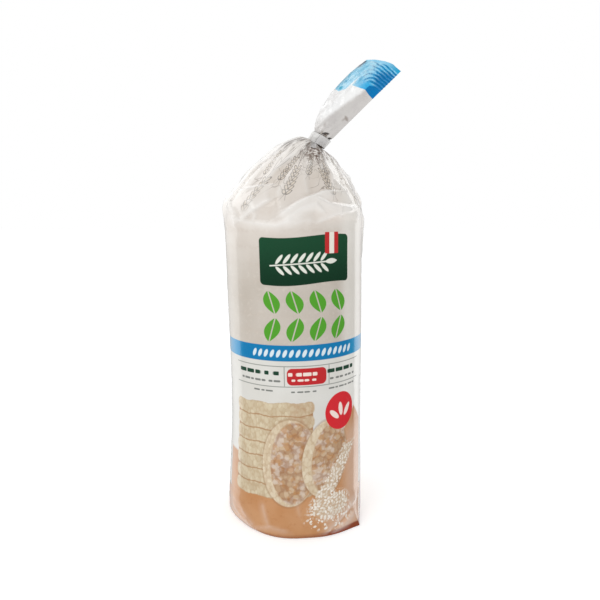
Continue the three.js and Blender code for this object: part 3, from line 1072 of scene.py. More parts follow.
def ink(red, green, blue):
    """The paint that looks like this screen colour when it stands in the studio."""
    screen = np.array([red, green, blue]) / 255
    linear = np.where(screen > 0.04045, ((screen + 0.055) / 1.055) ** 2.4, screen / 12.92)
    return (*np.minimum(linear / LIGHT_LEVEL, WHITEST).tolist(), 1.0)


# %% Shapes by distance
class Place:
    """A point on the flat print, in millimetres from a shape's own middle."""

    def __init__(self, board, x, y):
        self.board, self.x, self.y = board, x, y

    def at(self, x, y):
        return Place(self.board, self.x - x, self.y - y)

    def turned(self, degrees):
        c, s = float(np.cos(np.radians(degrees))), float(np.sin(np.radians(degrees)))
        return Place(self.board, self.x * c + self.y * s, self.y * c - self.x * s)

    def leaning(self, slope):
        return Place(self.board, self.x - self.y * slope, self.y)

    def mirrored(self):
        return Place(self.board, abs(self.x), self.y)

    def each(self, pitch, first, last, over="x"):
        """The same shape again and again, this far apart, from the first number to the last."""
        value = self.x if over == "x" else self.y
        number = self.board.maths("ROUND", value / pitch)
        number = self.board.maths("MINIMUM", self.board.maths("MAXIMUM", number, first), last)
        near = value - number * pitch
        return Place(self.board, near, self.y) if over == "x" else Place(self.board, self.x, near)

    def box(self, half_width, half_height, radius=0.3):
        past = self.board.joined(abs(self.x) - (half_width - radius), abs(self.y) - (half_height - radius))
        return self.board.vector("LENGTH", self.board.vector("MAXIMUM", past, (0, 0, 0)), key=1) - radius

    def ellipse(self, half_width, half_height):
        shrunk = self.board.joined(self.x / half_width, self.y / half_height)
        narrow = min(half_width, half_height)
        return self.board.vector("LENGTH", shrunk, key=1) * narrow - narrow

    def lens(self, half_width, half_length):
        taper = self.board.maths("MULTIPLY_ADD", self.y * self.y, half_width / half_length**2, -half_width)
        return abs(self.x) + taper

    def line(self, half_width):
        return abs(self.x) - half_width


def filled(distance, soft=0.3):
    """A mask of a shape's inside, with an edge this soft in millimetres."""
    return distance.board.maths("MULTIPLY_ADD", distance, -1 / soft, 0.5, clamp=True)


def outlined(distance, half_width, soft=0.3):
    """A mask of a line along the shape's outline."""
    return filled(abs(distance) - half_width, soft)


def either(mask, *others):
    """A mask of all that any of these masks covers."""
    for other in others:
        mask = mask.board.maths("MAXIMUM", mask, other)
    return mask


def dashes(place, count, half_height, pitch, seed):
    """A row of rounded strokes of uneven length."""
    board = place.board
    uneven = Place(board, place.x + board.maths("SINE", place.x * 0.83 + seed) * (0.16 * pitch), place.y)
    last = (count - 1) // 2
    one = uneven.each(pitch, last + 1 - count, last)
    return filled(one.box(0.39 * pitch, half_height, min(0.6, half_height * 0.9)))


def rows_of_dashes(place, rows):
    """Each row: x, height, and then its own number of strokes, half height, pitch and seed."""
    return either(*[dashes(place.at(x, height), *sizes) for x, height, *sizes in rows])


def scattered(place, size, half_width, half_length, seed):
    """Loose grains lying at all angles: the distance to the nearest, and a random number for it."""
    board = place.board
    spot = board.joined(place.x, place.y, seed)
    middle, chance, _ = board.cells(spot, size, 0.85)
    away = board.vector("SUBTRACT", spot, middle)
    sockets = {"Vector": away, "Angle": chance * 6.0}
    turned = board.node("ShaderNodeVectorRotate", {"rotation_type": "Z_AXIS"}, sockets)
    x, y, _ = board.parts(board.out(turned))
    return Place(board, x, y).ellipse(half_width, half_length), chance


print("inks ready, for a light level of", LIGHT_LEVEL)

# %% [markdown]
# ## The printed film
# From the outside in, the film is a glossy clear layer, the inks, a milky white, and behind it the
# cakes. Where the film lies on the cakes, their warm colour shows through. Where it stands off, on a
# crease or above the stack, it looks whiter, and part of that whitening is painted light for the lit
# facets of the creases. So the first step is a base colour that depends on height and on how far the
# film is lifted, and the inks go over it. The drawing faces the front. The sides and the back carry
# plain tables of short strokes.

# %% Milky film over cakes
film_material.use_nodes = True
board = Board(film_material.node_tree)
film_uv = board.film_place()
around, up, _ = board.parts(film_uv)
panel = Place(board, around, up)

cloud = board.noise(film_uv, 0.045, 2.0, 3.0)
clouded = board.rise(cloud, 0.3, 0.7)
speckle = board.noise(film_uv, 0.42, 2.0, 9.0)
lower_body = board.mix(clouded, ink(191, 182, 171), ink(198, 190, 180))
upper_body = board.mix(clouded, ink(213, 204, 195), ink(219, 212, 204))
colour = board.mix(board.rise(up, 160, 204), lower_body, upper_body)
cake_wave = board.maths("COSINE", board.attribute("along") * (2 * np.pi / CAKE_PITCH)) * 0.5 + 0.5
joint = board.maths("POWER", cake_wave, 4.0)
colour = board.mix(joint * board.rise(speckle, 0.35, 0.65) * 0.22, colour, ink(186, 172, 158))
colour = board.mix(board.rise(speckle, 0.52, 0.75) * 0.35, colour, ink(212, 203, 193))
lower = board.rise(up, 116, 115)
colour = board.mix(lower, colour, board.mix(clouded, ink(213, 211, 205), ink(218, 217, 212)))

# %% Loose film above the stack, and painted light on the dome and the flanks
# The colour of the painted light on the flanks of the body.
FLANK_PAINTED_LIGHT = ink(246, 240, 234)
dome = board.rise(up, 196, 216)
# Painted light: outside this band, on the left of the dome and at the back, the film is painted whiter. It
# stands in for the lit side and the backdrop seen in the gloss.
dome_without_painted_light = board.band(around, -62, -22, 90, 128)
dome_colour = board.mix(board.rise(cloud, 0.35, 0.65), ink(210, 200, 189), ink(219, 211, 203))
colour = board.mix(dome, colour, board.mix(dome_without_painted_light, ink(237, 234, 230), dome_colour))
# Painted light: the right shoulder, which the light leaves darker, is painted lighter.
right_shoulder_painted_light = board.band(around, 10, 24, 44, 56) * board.band(up, 196, 202, 214, 226)
colour = board.mix(right_shoulder_painted_light * 0.6, colour, ink(238, 228, 219))
colour = board.mix(board.rise(up, 230, 254) * 0.6, colour, ink(224, 220, 215))
# Painted light: both flanks of the body are painted lighter, the right one most. This stands in for light and
# for the bright strips that the backdrop makes in the gloss.
right_flank_painted_light = board.band(around, 27, 38, 50, 60)
colour = board.mix(right_flank_painted_light * 0.48, colour, FLANK_PAINTED_LIGHT)
left_flank_painted_light = board.band(around, -96, -80, -44, -33)
colour = board.mix(left_flank_painted_light * board.rise(up, 205, 185) * (1 - lower) * 0.15, colour, FLANK_PAINTED_LIGHT)


# %% Line-drawn ears of grain on the dome
def ears(seed, height, size, count):
    """Ears hanging from stems that run up into the neck, one for each sector of the film."""
    pitch = 2 * BACK_LINE / count
    sector = board.maths("FLOOR", around / pitch + 0.5 * (seed % 2))
    numbers = board.node("ShaderNodeTexWhiteNoise", {"noise_dimensions": "1D"}, {"W": sector + seed * 7.31})
    a, b, c = board.parts(board.out(numbers, "Color"))
    x = around - (sector + 0.5 - 0.5 * (seed % 2)) * pitch - (a - 0.5) * (0.35 * pitch)
    y = up - height - (b - 0.5) * 12.0
    x = x - y * ((c - 0.5) * 1.1) - y * y * ((a - 0.5) * 0.015)
    place = Place(board, x, y)
    length = 8.0 * size
    slot = place.mirrored().each(2.6 * size, -3, 3, "y")
    pointing_out = Place(board, slot.x - 1.35 * size, slot.y - slot.x * 0.7 + 0.9 * size)
    grain = pointing_out.ellipse(1.2 * size, 1.15 * size)
    stem = filled(place.line(0.3)) * board.rise(y, length, length + 1)
    leaf = Place(board, abs(x) - (y - 1.9 * length) * 0.5, y - 2.0 * length).lens(1.6 * size, 6.5 * size)
    whiskers = abs(board.maths("PINGPONG", abs(x) + y * 0.35, 1.5 * size)) - 0.18
    whiskers = filled(whiskers) * filled(abs(y + 1.25 * length) - 0.35 * length) * filled(abs(x) - 2.6 * size)
    leaf_line = outlined(leaf, 0.25) * filled(abs(y - 2.0 * length) - 6.0 * size)
    return either(outlined(grain, 0.3), stem, leaf_line, whiskers * 0.6), filled(grain)


DRAWN_LINE = ink(104, 94, 86)
over_dome = board.rise(up, 205, 210) * (board.rise(abs(around - 6.0), 60, 40) * 0.85 + 0.15)
for seed, height, size, count in ((1, 222, 1.2, 11), (2, 238, 1.05, 15)):
    outline, body = ears(seed, height, size, count)
    colour = board.mix(body * over_dome * 0.5, colour, ink(206, 192, 170))
    colour = board.mix(outline * over_dome * 0.9, colour, DRAWN_LINE)
for scale, seed, low in ((0.11, 12.0, 214), (0.2, 19.0, 228), (0.3, 26.0, 240)):
    scrawl = board.noise(film_uv, scale, 1.0, seed)
    scrawl_line = filled(abs(scrawl - 0.5) * (2.4 / scale) - 0.22)
    in_places = board.rise(board.noise(film_uv, 0.05, 0.0, seed + 5), 0.46, 0.54)
    share = scrawl_line * in_places * over_dome * board.rise(up, low, low + 8) * 0.7
    colour = board.mix(share, colour, ink(130, 118, 108))

# %% Painted shade in the pleats below the neck
streaks = board.noise(board.joined(around, up * 0.12), 0.35, 2.0, 21.0)
patches = board.noise(film_uv, 0.09, 2.0, 61.0)
pleat_shade = board.rise(streaks, 0.44, 0.56) * board.rise(up, 243, 258) * board.rise(patches, 0.42, 0.52)
colour = board.mix(pleat_shade * 0.85, colour, ink(92, 80, 70))
here = board.object_place()  # near the neck the film's own map is drawn out into streaks
# Painted shade in dark brown patches beside the neck.
beside_neck = board.band(around, -14, 10, 90, 120) * board.rise(up, 240, 252)
mottled_pleat_shade = board.rise(board.noise(here, 460.0, 2.0, 71.0), 0.46, 0.51)
mottled_pleat_shade = mottled_pleat_shade * board.rise(board.noise(here, 110.0, 1.0, 74.0), 0.4, 0.48)
colour = board.mix(beside_neck * mottled_pleat_shade * 0.9, colour, ink(90, 62, 44))

# %% Dark green panel with a pale ear, and a small red tab
waved = Place(board, panel.x, panel.y - board.maths("SINE", panel.x * 0.1 - 1.0) * 0.9)
green_panel = filled(waved.at(8.2, 177).box(29.2, 14.3, 2.5))
colour = board.mix(green_panel, colour, board.mix(board.rise(up, 160, 192), ink(18, 56, 36), ink(28, 76, 50)))
sprig = panel.at(7.5, 175.2).turned(3)
wing = Place(board, sprig.x - abs(sprig.y) * 0.75, abs(sprig.y) - 3.4).each(4.6, -4, 2)
stalk, tip = sprig.at(-4, 0).box(18, 0.4, 0.3), sprig.at(16.4, 0).turned(90).lens(1.6, 4.4)
pale = either(filled(wing.ellipse(1.35, 2.7)), filled(stalk), filled(tip))
colour = board.mix(pale, colour, ink(224, 226, 216))
tab = panel.at(24.4, 187)
colour = board.mix(filled(tab.box(4.7, 6.4, 0.5)), colour, ink(192, 42, 44))
colour = board.mix(filled(tab.box(1.7, 6.4, 0.3)), colour, ink(232, 228, 216))

# %% Light green leaves in two rows
LEAF_GREEN, LEAF_PITCH = ink(82, 160, 44), 14.4
for height, half_length, slope in ((151.9, 7.2, -0.3), (135.0, 7.6, 0.3)):
    leaf = panel.at(0.4, height).each(LEAF_PITCH, -1, 2).leaning(slope)
    leaves = filled(leaf.lens(5.2, half_length)) * (1 - filled(leaf.at(0, -2).line(0.4)))
    colour = board.mix(leaves, colour, LEAF_GREEN)

# %% Blue band with a row of white grains
BAND_HEIGHT, BAND_HALF = 120.45, 4.95
blue_band = filled(abs(up - BAND_HEIGHT) - BAND_HALF)
# Painted sheen: the band is painted a lighter blue towards its ends at the sides, where the backdrop shows in
# the gloss.
band_blue_with_painted_sheen = board.mix(board.rise(abs(around), 34, 46), ink(0, 120, 176), ink(24, 146, 198))
colour = board.mix(blue_band, colour, band_blue_with_painted_sheen)
bead = panel.at(6, 120.3).leaning(0.35).each(4.1, -8, 8).ellipse(1.25, 2.4)
colour = board.mix(filled(bead), colour, ink(214, 228, 234))

# %% Rules, strokes and a red badge
RULE_GREY = ink(120, 124, 118)
# Each rule: x, height, half width, half height.
RULES = ((3, 112.2, 47, 0.28), (3, 99.3, 47, 0.28), (-6.9, 105.8, 0.28, 6.2), (22.0, 105.8, 0.28, 6.2))
BOLD_ROWS = ((-25, 107.8, 5, 1.25, 6.4, 1.0), (36, 107.8, 4, 1.25, 6.0, 2.0))
THIN_ROWS = (
    (-25, 102.8, 7, 0.65, 4.4, 4.0),
    (36, 102.8, 6, 0.65, 3.9, 5.0),
    (-21.5, 96.4, 3, 0.5, 4.6, 6.0),
    (36, 96.6, 6, 0.5, 4.0, 7.0),
    (7.4, 96.0, 4, 0.5, 4.4, 8.0),
)
BADGE_ROWS = ((0, 1.5, 4, 1.1, 5.2, 3.0), (0, -2.2, 4, 0.7, 4.2, 1.5))
rules = either(*[filled(panel.at(x, height).box(*sizes, 0.2)) for x, height, *sizes in RULES])
colour = board.mix(rules * 0.8, colour, RULE_GREY)
colour = board.mix(rows_of_dashes(panel, BOLD_ROWS), colour, ink(34, 70, 52))
colour = board.mix(rows_of_dashes(panel, THIN_ROWS) * 0.85, colour, ink(96, 100, 96))
badge = panel.at(7.4, 105.6)
colour = board.mix(filled(badge.box(12.7, 5.3, 3.2)), colour, ink(192, 38, 42))
colour = board.mix(rows_of_dashes(badge, BADGE_ROWS), colour, ink(238, 222, 212))

# %% [markdown]
# ## The picture of cakes as simple shapes
#
# Under the rules the pack shows what is inside. Here it is a plain drawing in flat colours: a tan
# table, a stack of cakes, two discs that lean on it, and loose grains. The puffed surface is a cell
# pattern, because puffed grains press on each other until they fill the cake with little cells. Each
# cell has its own tone and a brown gap round it.

# %% Tan table and a stack
hill = board.maths("MAXIMUM", 25.5 - abs(panel.x - 45.5), 0.0)
ground = panel.y - board.maths("MULTIPLY_ADD", hill, 1.15, 51.0)
table_colour = board.mix(clouded, ink(190, 136, 90), ink(199, 150, 108))
table_colour = board.mix(board.rise(speckle, 0.55, 0.75) * 0.3, table_colour, ink(176, 116, 72))
colour = board.mix(filled(ground, 1.6), colour, table_colour)
# Painted shade: the lowest few millimetres of the film, next to the floor, are painted dark brown.
colour = board.mix(board.rise(up, 3.5, 0.5) * 0.7, colour, ink(146, 88, 60))
# Painted light on the film round the corner at the foot.
corner_painted_light = board.band(around, 30, 42, 80, 96) * board.rise(up, 78, 60)
colour = board.mix(corner_painted_light * 0.3, colour, ink(232, 214, 202))
# Painted shade: a dark red-brown band under the corner's edge.
shade_under_corner = board.band(around, 10, 26, 54, 62) * board.rise(up, 3.2, 2.0)
colour = board.mix(shade_under_corner * 0.92, colour, ink(138, 58, 22))
# Painted highlights, pale streaks of light on the tight film at the corner: x, height, turn, half width, half
# length.
CORNER_HIGHLIGHTS = ((35.3, 6.4, -73, 1.1, 9.0), (37.0, 11.0, -67, 0.9, 6.5), (31.0, 4.4, -80, 0.7, 5.0))
for x, height, turn, *sizes in CORNER_HIGHLIGHTS:
    streak = panel.at(x, height).turned(turn).lens(*sizes)
    colour = board.mix(filled(streak, 1.0) * 0.65, colour, ink(230, 190, 162))


def puffed(place, size, seed):
    """Tone of each cell from 0 to 1, and a mask of the gaps between cells."""
    bent = board.noise(board.joined(place.x, place.y), 0.9 / size, 2.0, seed) * (0.9 * size)
    _, tone, distance = board.cells(board.joined(place.x + bent, place.y - bent, seed), size)
    return tone, board.rise(distance, 0.42, 0.75)


stack_tone, stack_gaps = puffed(Place(board, panel.x, panel.y * 0.7), 2.2, 1.0)
wobble = board.maths("SINE", panel.x * 0.35 + 1.0) * 0.4 + board.noise(film_uv, 0.4, 1.0, 51.0)
STACK_X, STACK_HEIGHT, STACK_SLOPE = -16.5, 58.1, 0.022
stack_x = panel.x - STACK_X
cake = Place(board, stack_x, panel.y - STACK_HEIGHT - stack_x * STACK_SLOPE + wobble)
colour = board.mix(filled(cake.box(27.5, 31.0, 3.0), 0.6), colour, ink(168, 126, 88))
GAP_BROWN = 0.35  # how much of the brown shows in the gaps between cells
stack_colour = board.mix(stack_tone, ink(196, 178, 148), ink(213, 200, 172))
stack_colour = board.mix(stack_gaps * GAP_BROWN, stack_colour, ink(178, 148, 112))
browned = board.rise(board.noise(film_uv, 0.2, 2.0, 33.0), 0.5, 0.6)
toasted = board.rise(panel.x, -8, 4) * (browned * 0.4 + 0.3)
stack_colour = board.mix(toasted, stack_colour, ink(182, 148, 116))
one_cake = cake.each(8.95, -3, 3, "y").box(28.5, 4.15, 3.4)
colour = board.mix(filled(one_cake, 0.7), colour, stack_colour)

# %% Two leaning discs
face_tone, face_gaps = puffed(panel, 3.5, 2.0)
face_colour = board.mix(face_tone, ink(176, 140, 106), ink(203, 178, 148))
clumps = board.rise(board.noise(film_uv, 0.17, 3.0, 35.0), 0.46, 0.58)
face_colour = board.mix(clumps * 0.55, face_colour, ink(214, 202, 192))
face_colour = board.mix(browned * 0.55, face_colour, ink(188, 134, 80))
face_colour = board.mix(face_gaps * 0.5, face_colour, ink(150, 102, 68))
rim_colour = board.mix(stack_tone, ink(204, 184, 154), ink(221, 207, 182))
rim_colour = board.mix(stack_gaps * GAP_BROWN, rim_colour, ink(176, 144, 110))
# Each disc: x, height, half width, half height, lean, and how far its face is moved off the rim.
DISCS = ((-3.5, 49.8, 18.0, 28.3, 0, 2.6), (20.5, 51.2, 16.2, 25.3, -7, 3.0))
for x, height, half_width, half_height, lean_degrees, reach in DISCS:
    disc = panel.at(x, height).turned(lean_degrees)
    rim = disc.ellipse(half_width, half_height)
    colour = board.mix(filled(rim - 0.6, 1.2) * 0.5, colour, ink(150, 108, 74))
    colour = board.mix(filled(rim, 0.5), colour, rim_colour)
    face = disc.at(reach, 0).ellipse(half_width - reach - 0.3, half_height - 1.6)
    colour = board.mix(filled(face, 0.8), colour, face_colour)

# %% Loose grains
STREAM_SLOPE = 0.705
stream = Place(board, panel.x - 29.0 - (panel.y - 41.1) * STREAM_SLOPE, panel.y)
stream_shape = board.maths("MAXIMUM", stream.line(5.0), abs(panel.y - 39.6) - 16.6)
pile_shape = panel.at(24.5, 19).ellipse(13.0, 7.8)
heap = board.maths("MINIMUM", stream_shape, pile_shape)
grain_shape, grain_chance = scattered(panel, 2.3, 0.72, 1.2, 4.0)
colour = board.mix(filled(heap, 2.0) * 0.85, colour, ink(202, 180, 154))
strays = filled(panel.at(24, 12).ellipse(17, 8.5), 3.0) * board.rise(grain_chance, 0.55, 0.58)
near_heap = either(filled(heap - 1.6, 2.5), strays)
grain_colour = board.mix(grain_chance, ink(214, 202, 184), ink(238, 232, 222))
colour = board.mix(filled(grain_shape) * near_heap, colour, grain_colour)

# %% Red disc
DISC_RADIUS = 12.2
red_disc = panel.at(31.5, 80.5)
colour = board.mix(filled(red_disc.ellipse(DISC_RADIUS, DISC_RADIUS)), colour, ink(212, 36, 46))
tilted = red_disc.turned(8)
for spread in (-42, 0, 42):
    grain = tilted.at(0, -7).turned(spread).at(0, 8.2).ellipse(1.7, 4.4)
    colour = board.mix(filled(grain), colour, ink(240, 222, 214))

# %% Side panels
LINE_PITCH = 4.4
SIDE_MIDDLE, BACK_MIDDLE = 72, 115  # millimetres round from the front, on both sides
for x, low, high, strokes in ((SIDE_MIDDLE, 22, 97, 7), (BACK_MIDDLE, 30, 97, 9)):
    table = Place(board, abs(around) - x, up - (low + high) / 2)
    half_width, half_height = strokes * 2.1 + 1.4, (high - low) / 2
    frame_line = table.box(half_width, half_height, 1.0)
    colour = board.mix(filled(frame_line), colour, ink(218, 216, 210))
    colour = board.mix(outlined(frame_line, 0.25), colour, RULE_GREY)
    last = int(half_height / LINE_PITCH) - 1
    lines = dashes(table.each(LINE_PITCH, -last, last, "y"), strokes, 0.55, 3.8, 3.3)
    colour = board.mix(lines * 0.8, colour, ink(112, 116, 110))
side_leaf = Place(board, abs(abs(around) - SIDE_MIDDLE), up - 146)
colour = board.mix(filled(side_leaf.at(4.2, 0).leaning(0.55).lens(3.2, 8.5)), colour, LEAF_GREEN)
colour = board.mix(filled(side_leaf.at(0, -2).box(0.35, 10.5, 0.2)), colour, LEAF_GREEN)
note = Place(board, abs(around) - BACK_MIDDLE, up - 152)
colour = board.mix(filled(note.box(18.5, 22, 2.5)), colour, ink(22, 60, 40))
note_lines = dashes(note.each(6.2, -2, 2, "y"), 7, 0.9, 4.2, 6.1)
colour = board.mix(note_lines * 0.85, colour, ink(214, 216, 204))

# %% Finish of the film
lifted = board.attribute("lifted")
ridge = board.attribute("ridge")
right_wall = board.rise(around, 30, 48) * board.band(up, 98, 106, 196, 206)
# Partly the film's own whitening where it stands off the cakes, partly painted light for the lit facets of
# the creases.
whitening_and_facet_light = lifted * (0.62 - right_wall * 0.2) * (1 - blue_band * 0.75)
colour = board.mix(whitening_and_facet_light, colour, ink(238, 235, 231))
# Painted highlight along the ridge of each crease.
colour = board.mix(ridge * 0.3, colour, ink(244, 242, 240))
drawn_out = board.joined(around, up * 0.35)
micro = board.noise(film_uv, 0.9, 3.0, 31.0) * 0.6 + board.noise(drawn_out, 0.5, 2.0, 37.0)
relief = micro * 0.05 + board.noise(film_uv, 0.3, 2.0, 44.0) * board.rise(up, 198, 190) * 0.1
board.surface({
    "Base Color": colour,
    "Roughness": board.noise(film_uv, 0.12, 2.0, 40.0) * 0.16 + 0.26,
    "IOR": 1.48,
    "Specular IOR Level": 0.2,
    "Coat Weight": 0.9,
    "Coat Roughness": 0.07,
    "Coat IOR": 1.5,
    "Normal": board.bumps(0.55, relief),
})
print("film material:", len(board.tree.nodes), "nodes")

# %% [markdown]
# ## The tail and the tape
#
# The tail is the plain upper end of the same film: white, then blue where it was sealed shut with hot
# ribbed jaws. The ribs shine pale where they catch the light. The tape is a white woven-backed tape,
# slightly see-through, so it is greyer where dark pleats lie under it.

# %% Tail film
tail_material.use_nodes = True
board = Board(tail_material.node_tree)
tail_place = board.film_place()
tail_x, tail_z, _ = board.parts(tail_place)
from_left = board.attribute("from_left")
tail_cloud = board.rise(board.noise(tail_place, 0.12, 2.0, 5.0), 0.35, 0.65)
crumple = board.noise(tail_place, 0.35, 3.0, 7.0)
fold = board.maths("MULTIPLY_ADD", tail_z - 3.0, -FOLD_SLOPE, LONG_FOLD)
colour = board.mix(tail_cloud, ink(203, 199, 197), ink(209, 206, 203))
# Painted light: past the long fold, the crinkled left of the tail, which faces the light, is painted whiter.
crumpled = board.rise(crumple, 0.35, 0.65) * board.rise(tail_x, 15, 17)
left_painted_light = board.mix(crumpled, ink(243, 242, 241), ink(228, 227, 226))
softer = board.rise(tail_z, 12, 2) * 2.0 + 1.3
past_fold = board.rise((tail_x - fold + crumple * 1.6 - 0.8) / softer, -1.1, 1.1)
colour = board.mix(past_fold, colour, left_painted_light)
colour = board.mix(board.rise(tail_z, 7, -1) * 0.45, colour, ink(224, 221, 218))

# %% Blue of the tail
steps = board.maths("MAXIMUM", tail_x - 7.2, 0.0) * 0.46 + board.maths("MAXIMUM", tail_x - 16.4, 0.0) * 1.2
blue_start = board.maths("MAXIMUM", 35.5 - steps - board.rise(tail_x, 15.6, 16.2) * 3.9, 23.4)
# The blue is lighter towards the crinkled left, partly from the crimp and partly as painted reflection.
blue_colour = board.mix(board.rise(tail_x, 8, 17), ink(58, 174, 226), ink(164, 214, 238))
pale_patches = board.rise(crumple, 0.42, 0.62) * board.rise(tail_x, 9, 14)
blue_colour = board.mix(pale_patches * 0.5, blue_colour, ink(206, 234, 247))
streaks = board.noise(board.joined(tail_x, tail_z * 0.3), 0.6, 2.0, 27.0)
dark_patches = board.rise(streaks, 0.5, 0.62) * board.rise(tail_x, 11, 14)
blue_colour = board.mix(dark_patches * 0.5, blue_colour, ink(70, 170, 208))

# %% Ribs and edges of the blue
middle = board.maths("MULTIPLY_ADD", (tail_z - 47.5) * (tail_z - 47.5), -0.1, 10.0)
in_seal = board.rise(tail_z + tail_x * 0.25, 41.5, 43.5)
corner_x = board.maths("MINIMUM", 7.4 - (tail_z - 39.3) * 1.07, 7.4)
deep = either(filled(tail_x - corner_x, 0.5), board.rise(tail_x - middle, 2.0, -3.0) * in_seal)
blue_colour = board.mix(deep, blue_colour, ink(0, 119, 184))
crest = board.maths("COSINE", board.attribute("to_mouth") * (2 * np.pi / RIB_PITCH) + np.pi) * 0.5 + 0.5
right_side = board.rise(tail_x - middle, 1.0, -5.0)
near_mouth = board.rise(tail_z, 52, 56)
bright = 0.72 - right_side * 0.6 + near_mouth * right_side * 0.4
uneven = board.rise(board.noise(tail_place, 0.9, 2.0, 55.0), 0.3, 0.6) * 0.7 + 0.3
on_crest = board.rise(crest, 0.45, 0.8) * in_seal
blue_colour = board.mix(on_crest * bright * uneven, blue_colour, ink(160, 218, 246))
# Painted shade in the troughs between the ribs, stronger towards the right.
trough_shade_share = (board.rise(tail_x, 17, 11) * 0.7 + 0.1) * uneven
blue_colour = board.mix(board.rise(crest, 0.5, 0.15) * in_seal * trough_shade_share, blue_colour, ink(0, 106, 158))
smooth_end = board.mix(board.rise(tail_x, 1, 12), ink(44, 164, 208), ink(146, 208, 238))
above_ribs = tail_z + tail_x * 0.12 + board.maths("MAXIMUM", tail_x - 6, 0.0) * 0.4
blue_colour = board.mix(board.rise(above_ribs, 57.6, 58.4), blue_colour, smooth_end)
colour = board.mix(filled(blue_start - tail_z), colour, blue_colour)
# Painted highlight: a pale strip along the fold at the left.
fold_highlight = filled(abs(tail_x - 15.8) - board.rise(tail_z, 42, 30) * 0.6, 0.5) * board.rise(tail_z, 41, 36)
colour = board.mix(fold_highlight * board.rise(tail_z, 20, 28) * 0.85, colour, ink(240, 246, 250))
# Painted shade along the left edge, where the film turns back: teal below, navy higher up.
left_edge_shade = filled(from_left - 1.2, 0.8) * board.band(tail_z, 22, 27, 48.6, 50.0)
navy_edge_shade = board.band(tail_z, 41.5, 43.5, 48, 49.5)
colour = board.mix(left_edge_shade * 0.85, colour, board.mix(navy_edge_shade, ink(52, 140, 170), ink(34, 40, 66)))
spot = Place(board, tail_x - 19.4, tail_z - 26.0)
colour = board.mix(filled(spot.ellipse(0.8, 1.8), 0.8) * 0.8, colour, ink(30, 156, 184))

# %% Marks of the tail, and painted shade in its crevices above the tape
# Each mark: how strong, x, height, turn, half width, half length.
MARK_INK, CREVICE_SHADE_INK = ink(148, 137, 129), ink(58, 50, 46)
MARKS = ((0.75, 2.9, 15.2, -75, 0.95, 2.0), (0.55, 3.7, 13.4, 10, 0.45, 1.4), (0.35, 9.6, 2.2, -30, 0.7, 1.7))
# Painted shade: dark strokes where the film's folds go down into the tape.
CREVICE_SHADES = ((0.92, 5.4, -1.0, 46, 0.8, 2.9), (0.92, 4.6, -2.6, 31, 0.6, 1.7), (0.92, 1.0, -0.9, 61, 0.75, 1.8))
for marks, soft, shade in ((MARKS, 1.1, MARK_INK), (CREVICE_SHADES, 0.45, CREVICE_SHADE_INK)):
    for strength, x, z, turn, *sizes in marks:
        mark = Place(board, tail_x - x, tail_z - z).turned(turn).lens(*sizes)
        colour = board.mix(filled(mark, soft) * strength, colour, shade)
micro = board.noise(tail_place, 0.8, 3.0, 11.0)
board.surface({
    "Base Color": colour,
    "Roughness": board.noise(tail_place, 0.2, 2.0, 19.0) * 0.15 + 0.25,
    "Specular IOR Level": 0.15,
    "Coat Weight": 0.9,
    "Coat Roughness": 0.08,
    "Normal": board.bumps(0.5, micro * 0.06),
})

# %% White tape
tape_material.use_nodes = True
board = Board(tape_material.node_tree)
turned = board.out(board.node("ShaderNodeMapping", {"vector_type": "TEXTURE"}, {
    "Vector": board.object_place(),
    "Location": NECK_PLACE,
    "Rotation": (0.0, lean, 0.0),
    "Scale": (MM, MM, MM),
}))
tape_x, tape_y, tape_z = board.parts(turned)
threads = board.maths("SINE", tape_z * 12.0 + board.noise(turned, 0.5) * 4.0) * 0.5 + 0.5
mottle = board.noise(turned, 0.55, 2.0, 2.0)
colour = board.mix(board.rise(mottle, 0.35, 0.65), ink(222, 221, 219), ink(229, 228, 226))
facing = board.rise(tape_y, -1.0, -4.0)
see_through = board.rise(tape_z, 1.0, -3.4) * board.rise(board.noise(turned, 0.35, 1.0, 8.0), 0.4, 0.6)
colour = board.mix(see_through * 0.3, colour, ink(150, 147, 143))
peeping = board.rise(tape_z - tape_x * 0.14, -4.7, -5.2)
colour = board.mix(peeping * 0.85, colour, ink(142, 138, 134))
# Painted shadow: a thin dark line at the tape's free end.
end_shadow_line = Place(board, tape_x + 0.75, tape_z).line(0.13)
colour = board.mix(filled(end_shadow_line) * facing * 0.75, colour, ink(92, 90, 88))
outer_turn = board.rise(tape_x, -0.8, -0.5) * facing
colour = board.mix(outer_turn * 0.5, colour, ink(202, 200, 200))
weave = threads * 0.03 + mottle * 0.05
board.surface({
    "Base Color": colour,
    "Roughness": threads * 0.1 + 0.42,
    "Coat Weight": 0.25,
    "Normal": board.bumps(0.4, weave),
})
print("tail and tape materials made")

# %% [markdown]
# ## A white studio
#
# The pack stood in front of a wide white backdrop, in a room that was darker in front. Glossy film
# tells this: its front is calm, and both edges carry a bright strip with a sharp inner border, which is
# the backdrop seen in the film. The world below is that room. What the camera sees behind the pack is
# white, what lights the film is even, and what the gloss reflects is dark in front and bright behind.

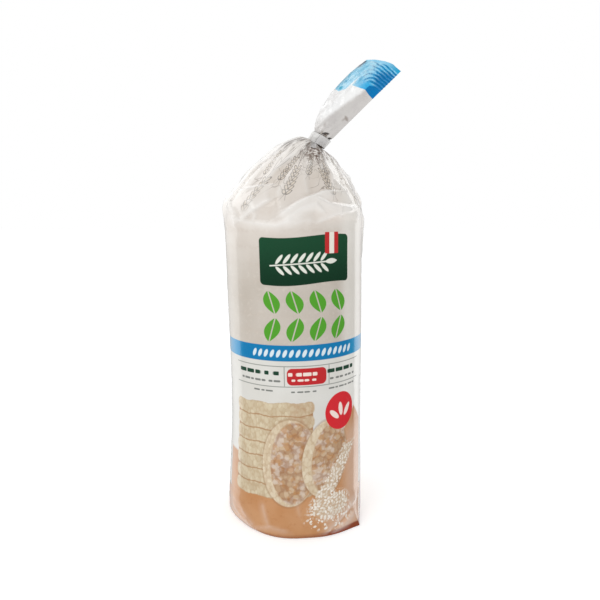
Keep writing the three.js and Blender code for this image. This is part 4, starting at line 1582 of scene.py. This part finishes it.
# %% World
ROOM_FRONT, CLOTH_LEAST = 0.015, 0.35  # how bright the dark room is, and the backdrop at its middle
world = bpy.data.worlds.new("studio")
bpy.context.scene.world = world
world.use_nodes = True
world.cycles.sampling_method = "NONE"
board = Board(world.node_tree)
heading = board.out(board.node("ShaderNodeTexCoord"), "Generated")
east, north, height = board.parts(heading)
azimuth = board.maths("ARCTAN2", east, north) * (180 / np.pi)  # 0 is straight behind the pack, right is more
cloth = board.band(azimuth, -74, -68, 54, 60)
fall = board.rise(abs(azimuth), 0, 58)
from_right = board.rise(azimuth, -5, 5)
high = board.rise(height, 0.05, 0.5)
mirrored_room = cloth * (fall * (from_right * 0.35 + 0.75) + high * 0.8 + CLOTH_LEAST) + ROOM_FRONT
overhead = board.rise(height, 0.55, 0.9) * 0.6
light_path = board.node("ShaderNodeLightPath")
room = board.maths("MAXIMUM", mirrored_room, overhead)
even = 0.73 + height * 0.10 - east * 0.10
strength = even + (room - even) * board.out(light_path, "Is Glossy Ray")
strength = strength + (1.0 - strength) * board.out(light_path, "Is Camera Ray")
sky = board.node("ShaderNodeBackground", None, {"Color": (1, 1, 1, 1), "Strength": strength})
board.node("ShaderNodeOutputWorld", None, {"Surface": board.out(sky)})

# %% Floor
FLOOR_CORNERS = [(-6, -2, 0), (6, -2, 0), (6, 8, 0), (-6, 8, 0)]
FLOOR_GLOW = 0.4  # lifts the floor to the backdrop's white, and leaves a soft shadow at the pack's foot
floor_mesh = bpy.data.meshes.new("floor")
floor_mesh.from_pydata(FLOOR_CORNERS, [], [(0, 1, 2, 3)])
floor = bpy.data.objects.new("floor", floor_mesh)
bpy.context.scene.collection.objects.link(floor)
floor.visible_glossy = False
floor_material = bpy.data.materials.new("pale_floor")
floor_material.use_nodes = True
board = Board(floor_material.node_tree)
board.surface({
    "Base Color": (0.86, 0.86, 0.86, 1),
    "Roughness": 0.9,
    "Specular IOR Level": 0.0,
    "Emission Color": (1, 1, 1, 1),
    "Emission Strength": FLOOR_GLOW,
})
floor_mesh.materials.append(floor_material)

# %% Soft box
KEY_PLACE, KEY_AIM = Vector((-0.75, -0.75, 0.95)), Vector((0, 0, 0.2))
KEY_SIZE, KEY_POWER = 0.7, 2.8  # metres and watts
key_light = bpy.data.lights.new("key", "AREA")
key_light.shape, key_light.size, key_light.energy = "SQUARE", KEY_SIZE, KEY_POWER
key = bpy.data.objects.new("key", key_light)
key.location = KEY_PLACE
key.rotation_euler = (KEY_AIM - KEY_PLACE).to_track_quat("-Z", "Y").to_euler()
bpy.context.scene.collection.objects.link(key)
bpy.context.scene.view_settings.view_transform = "Standard"
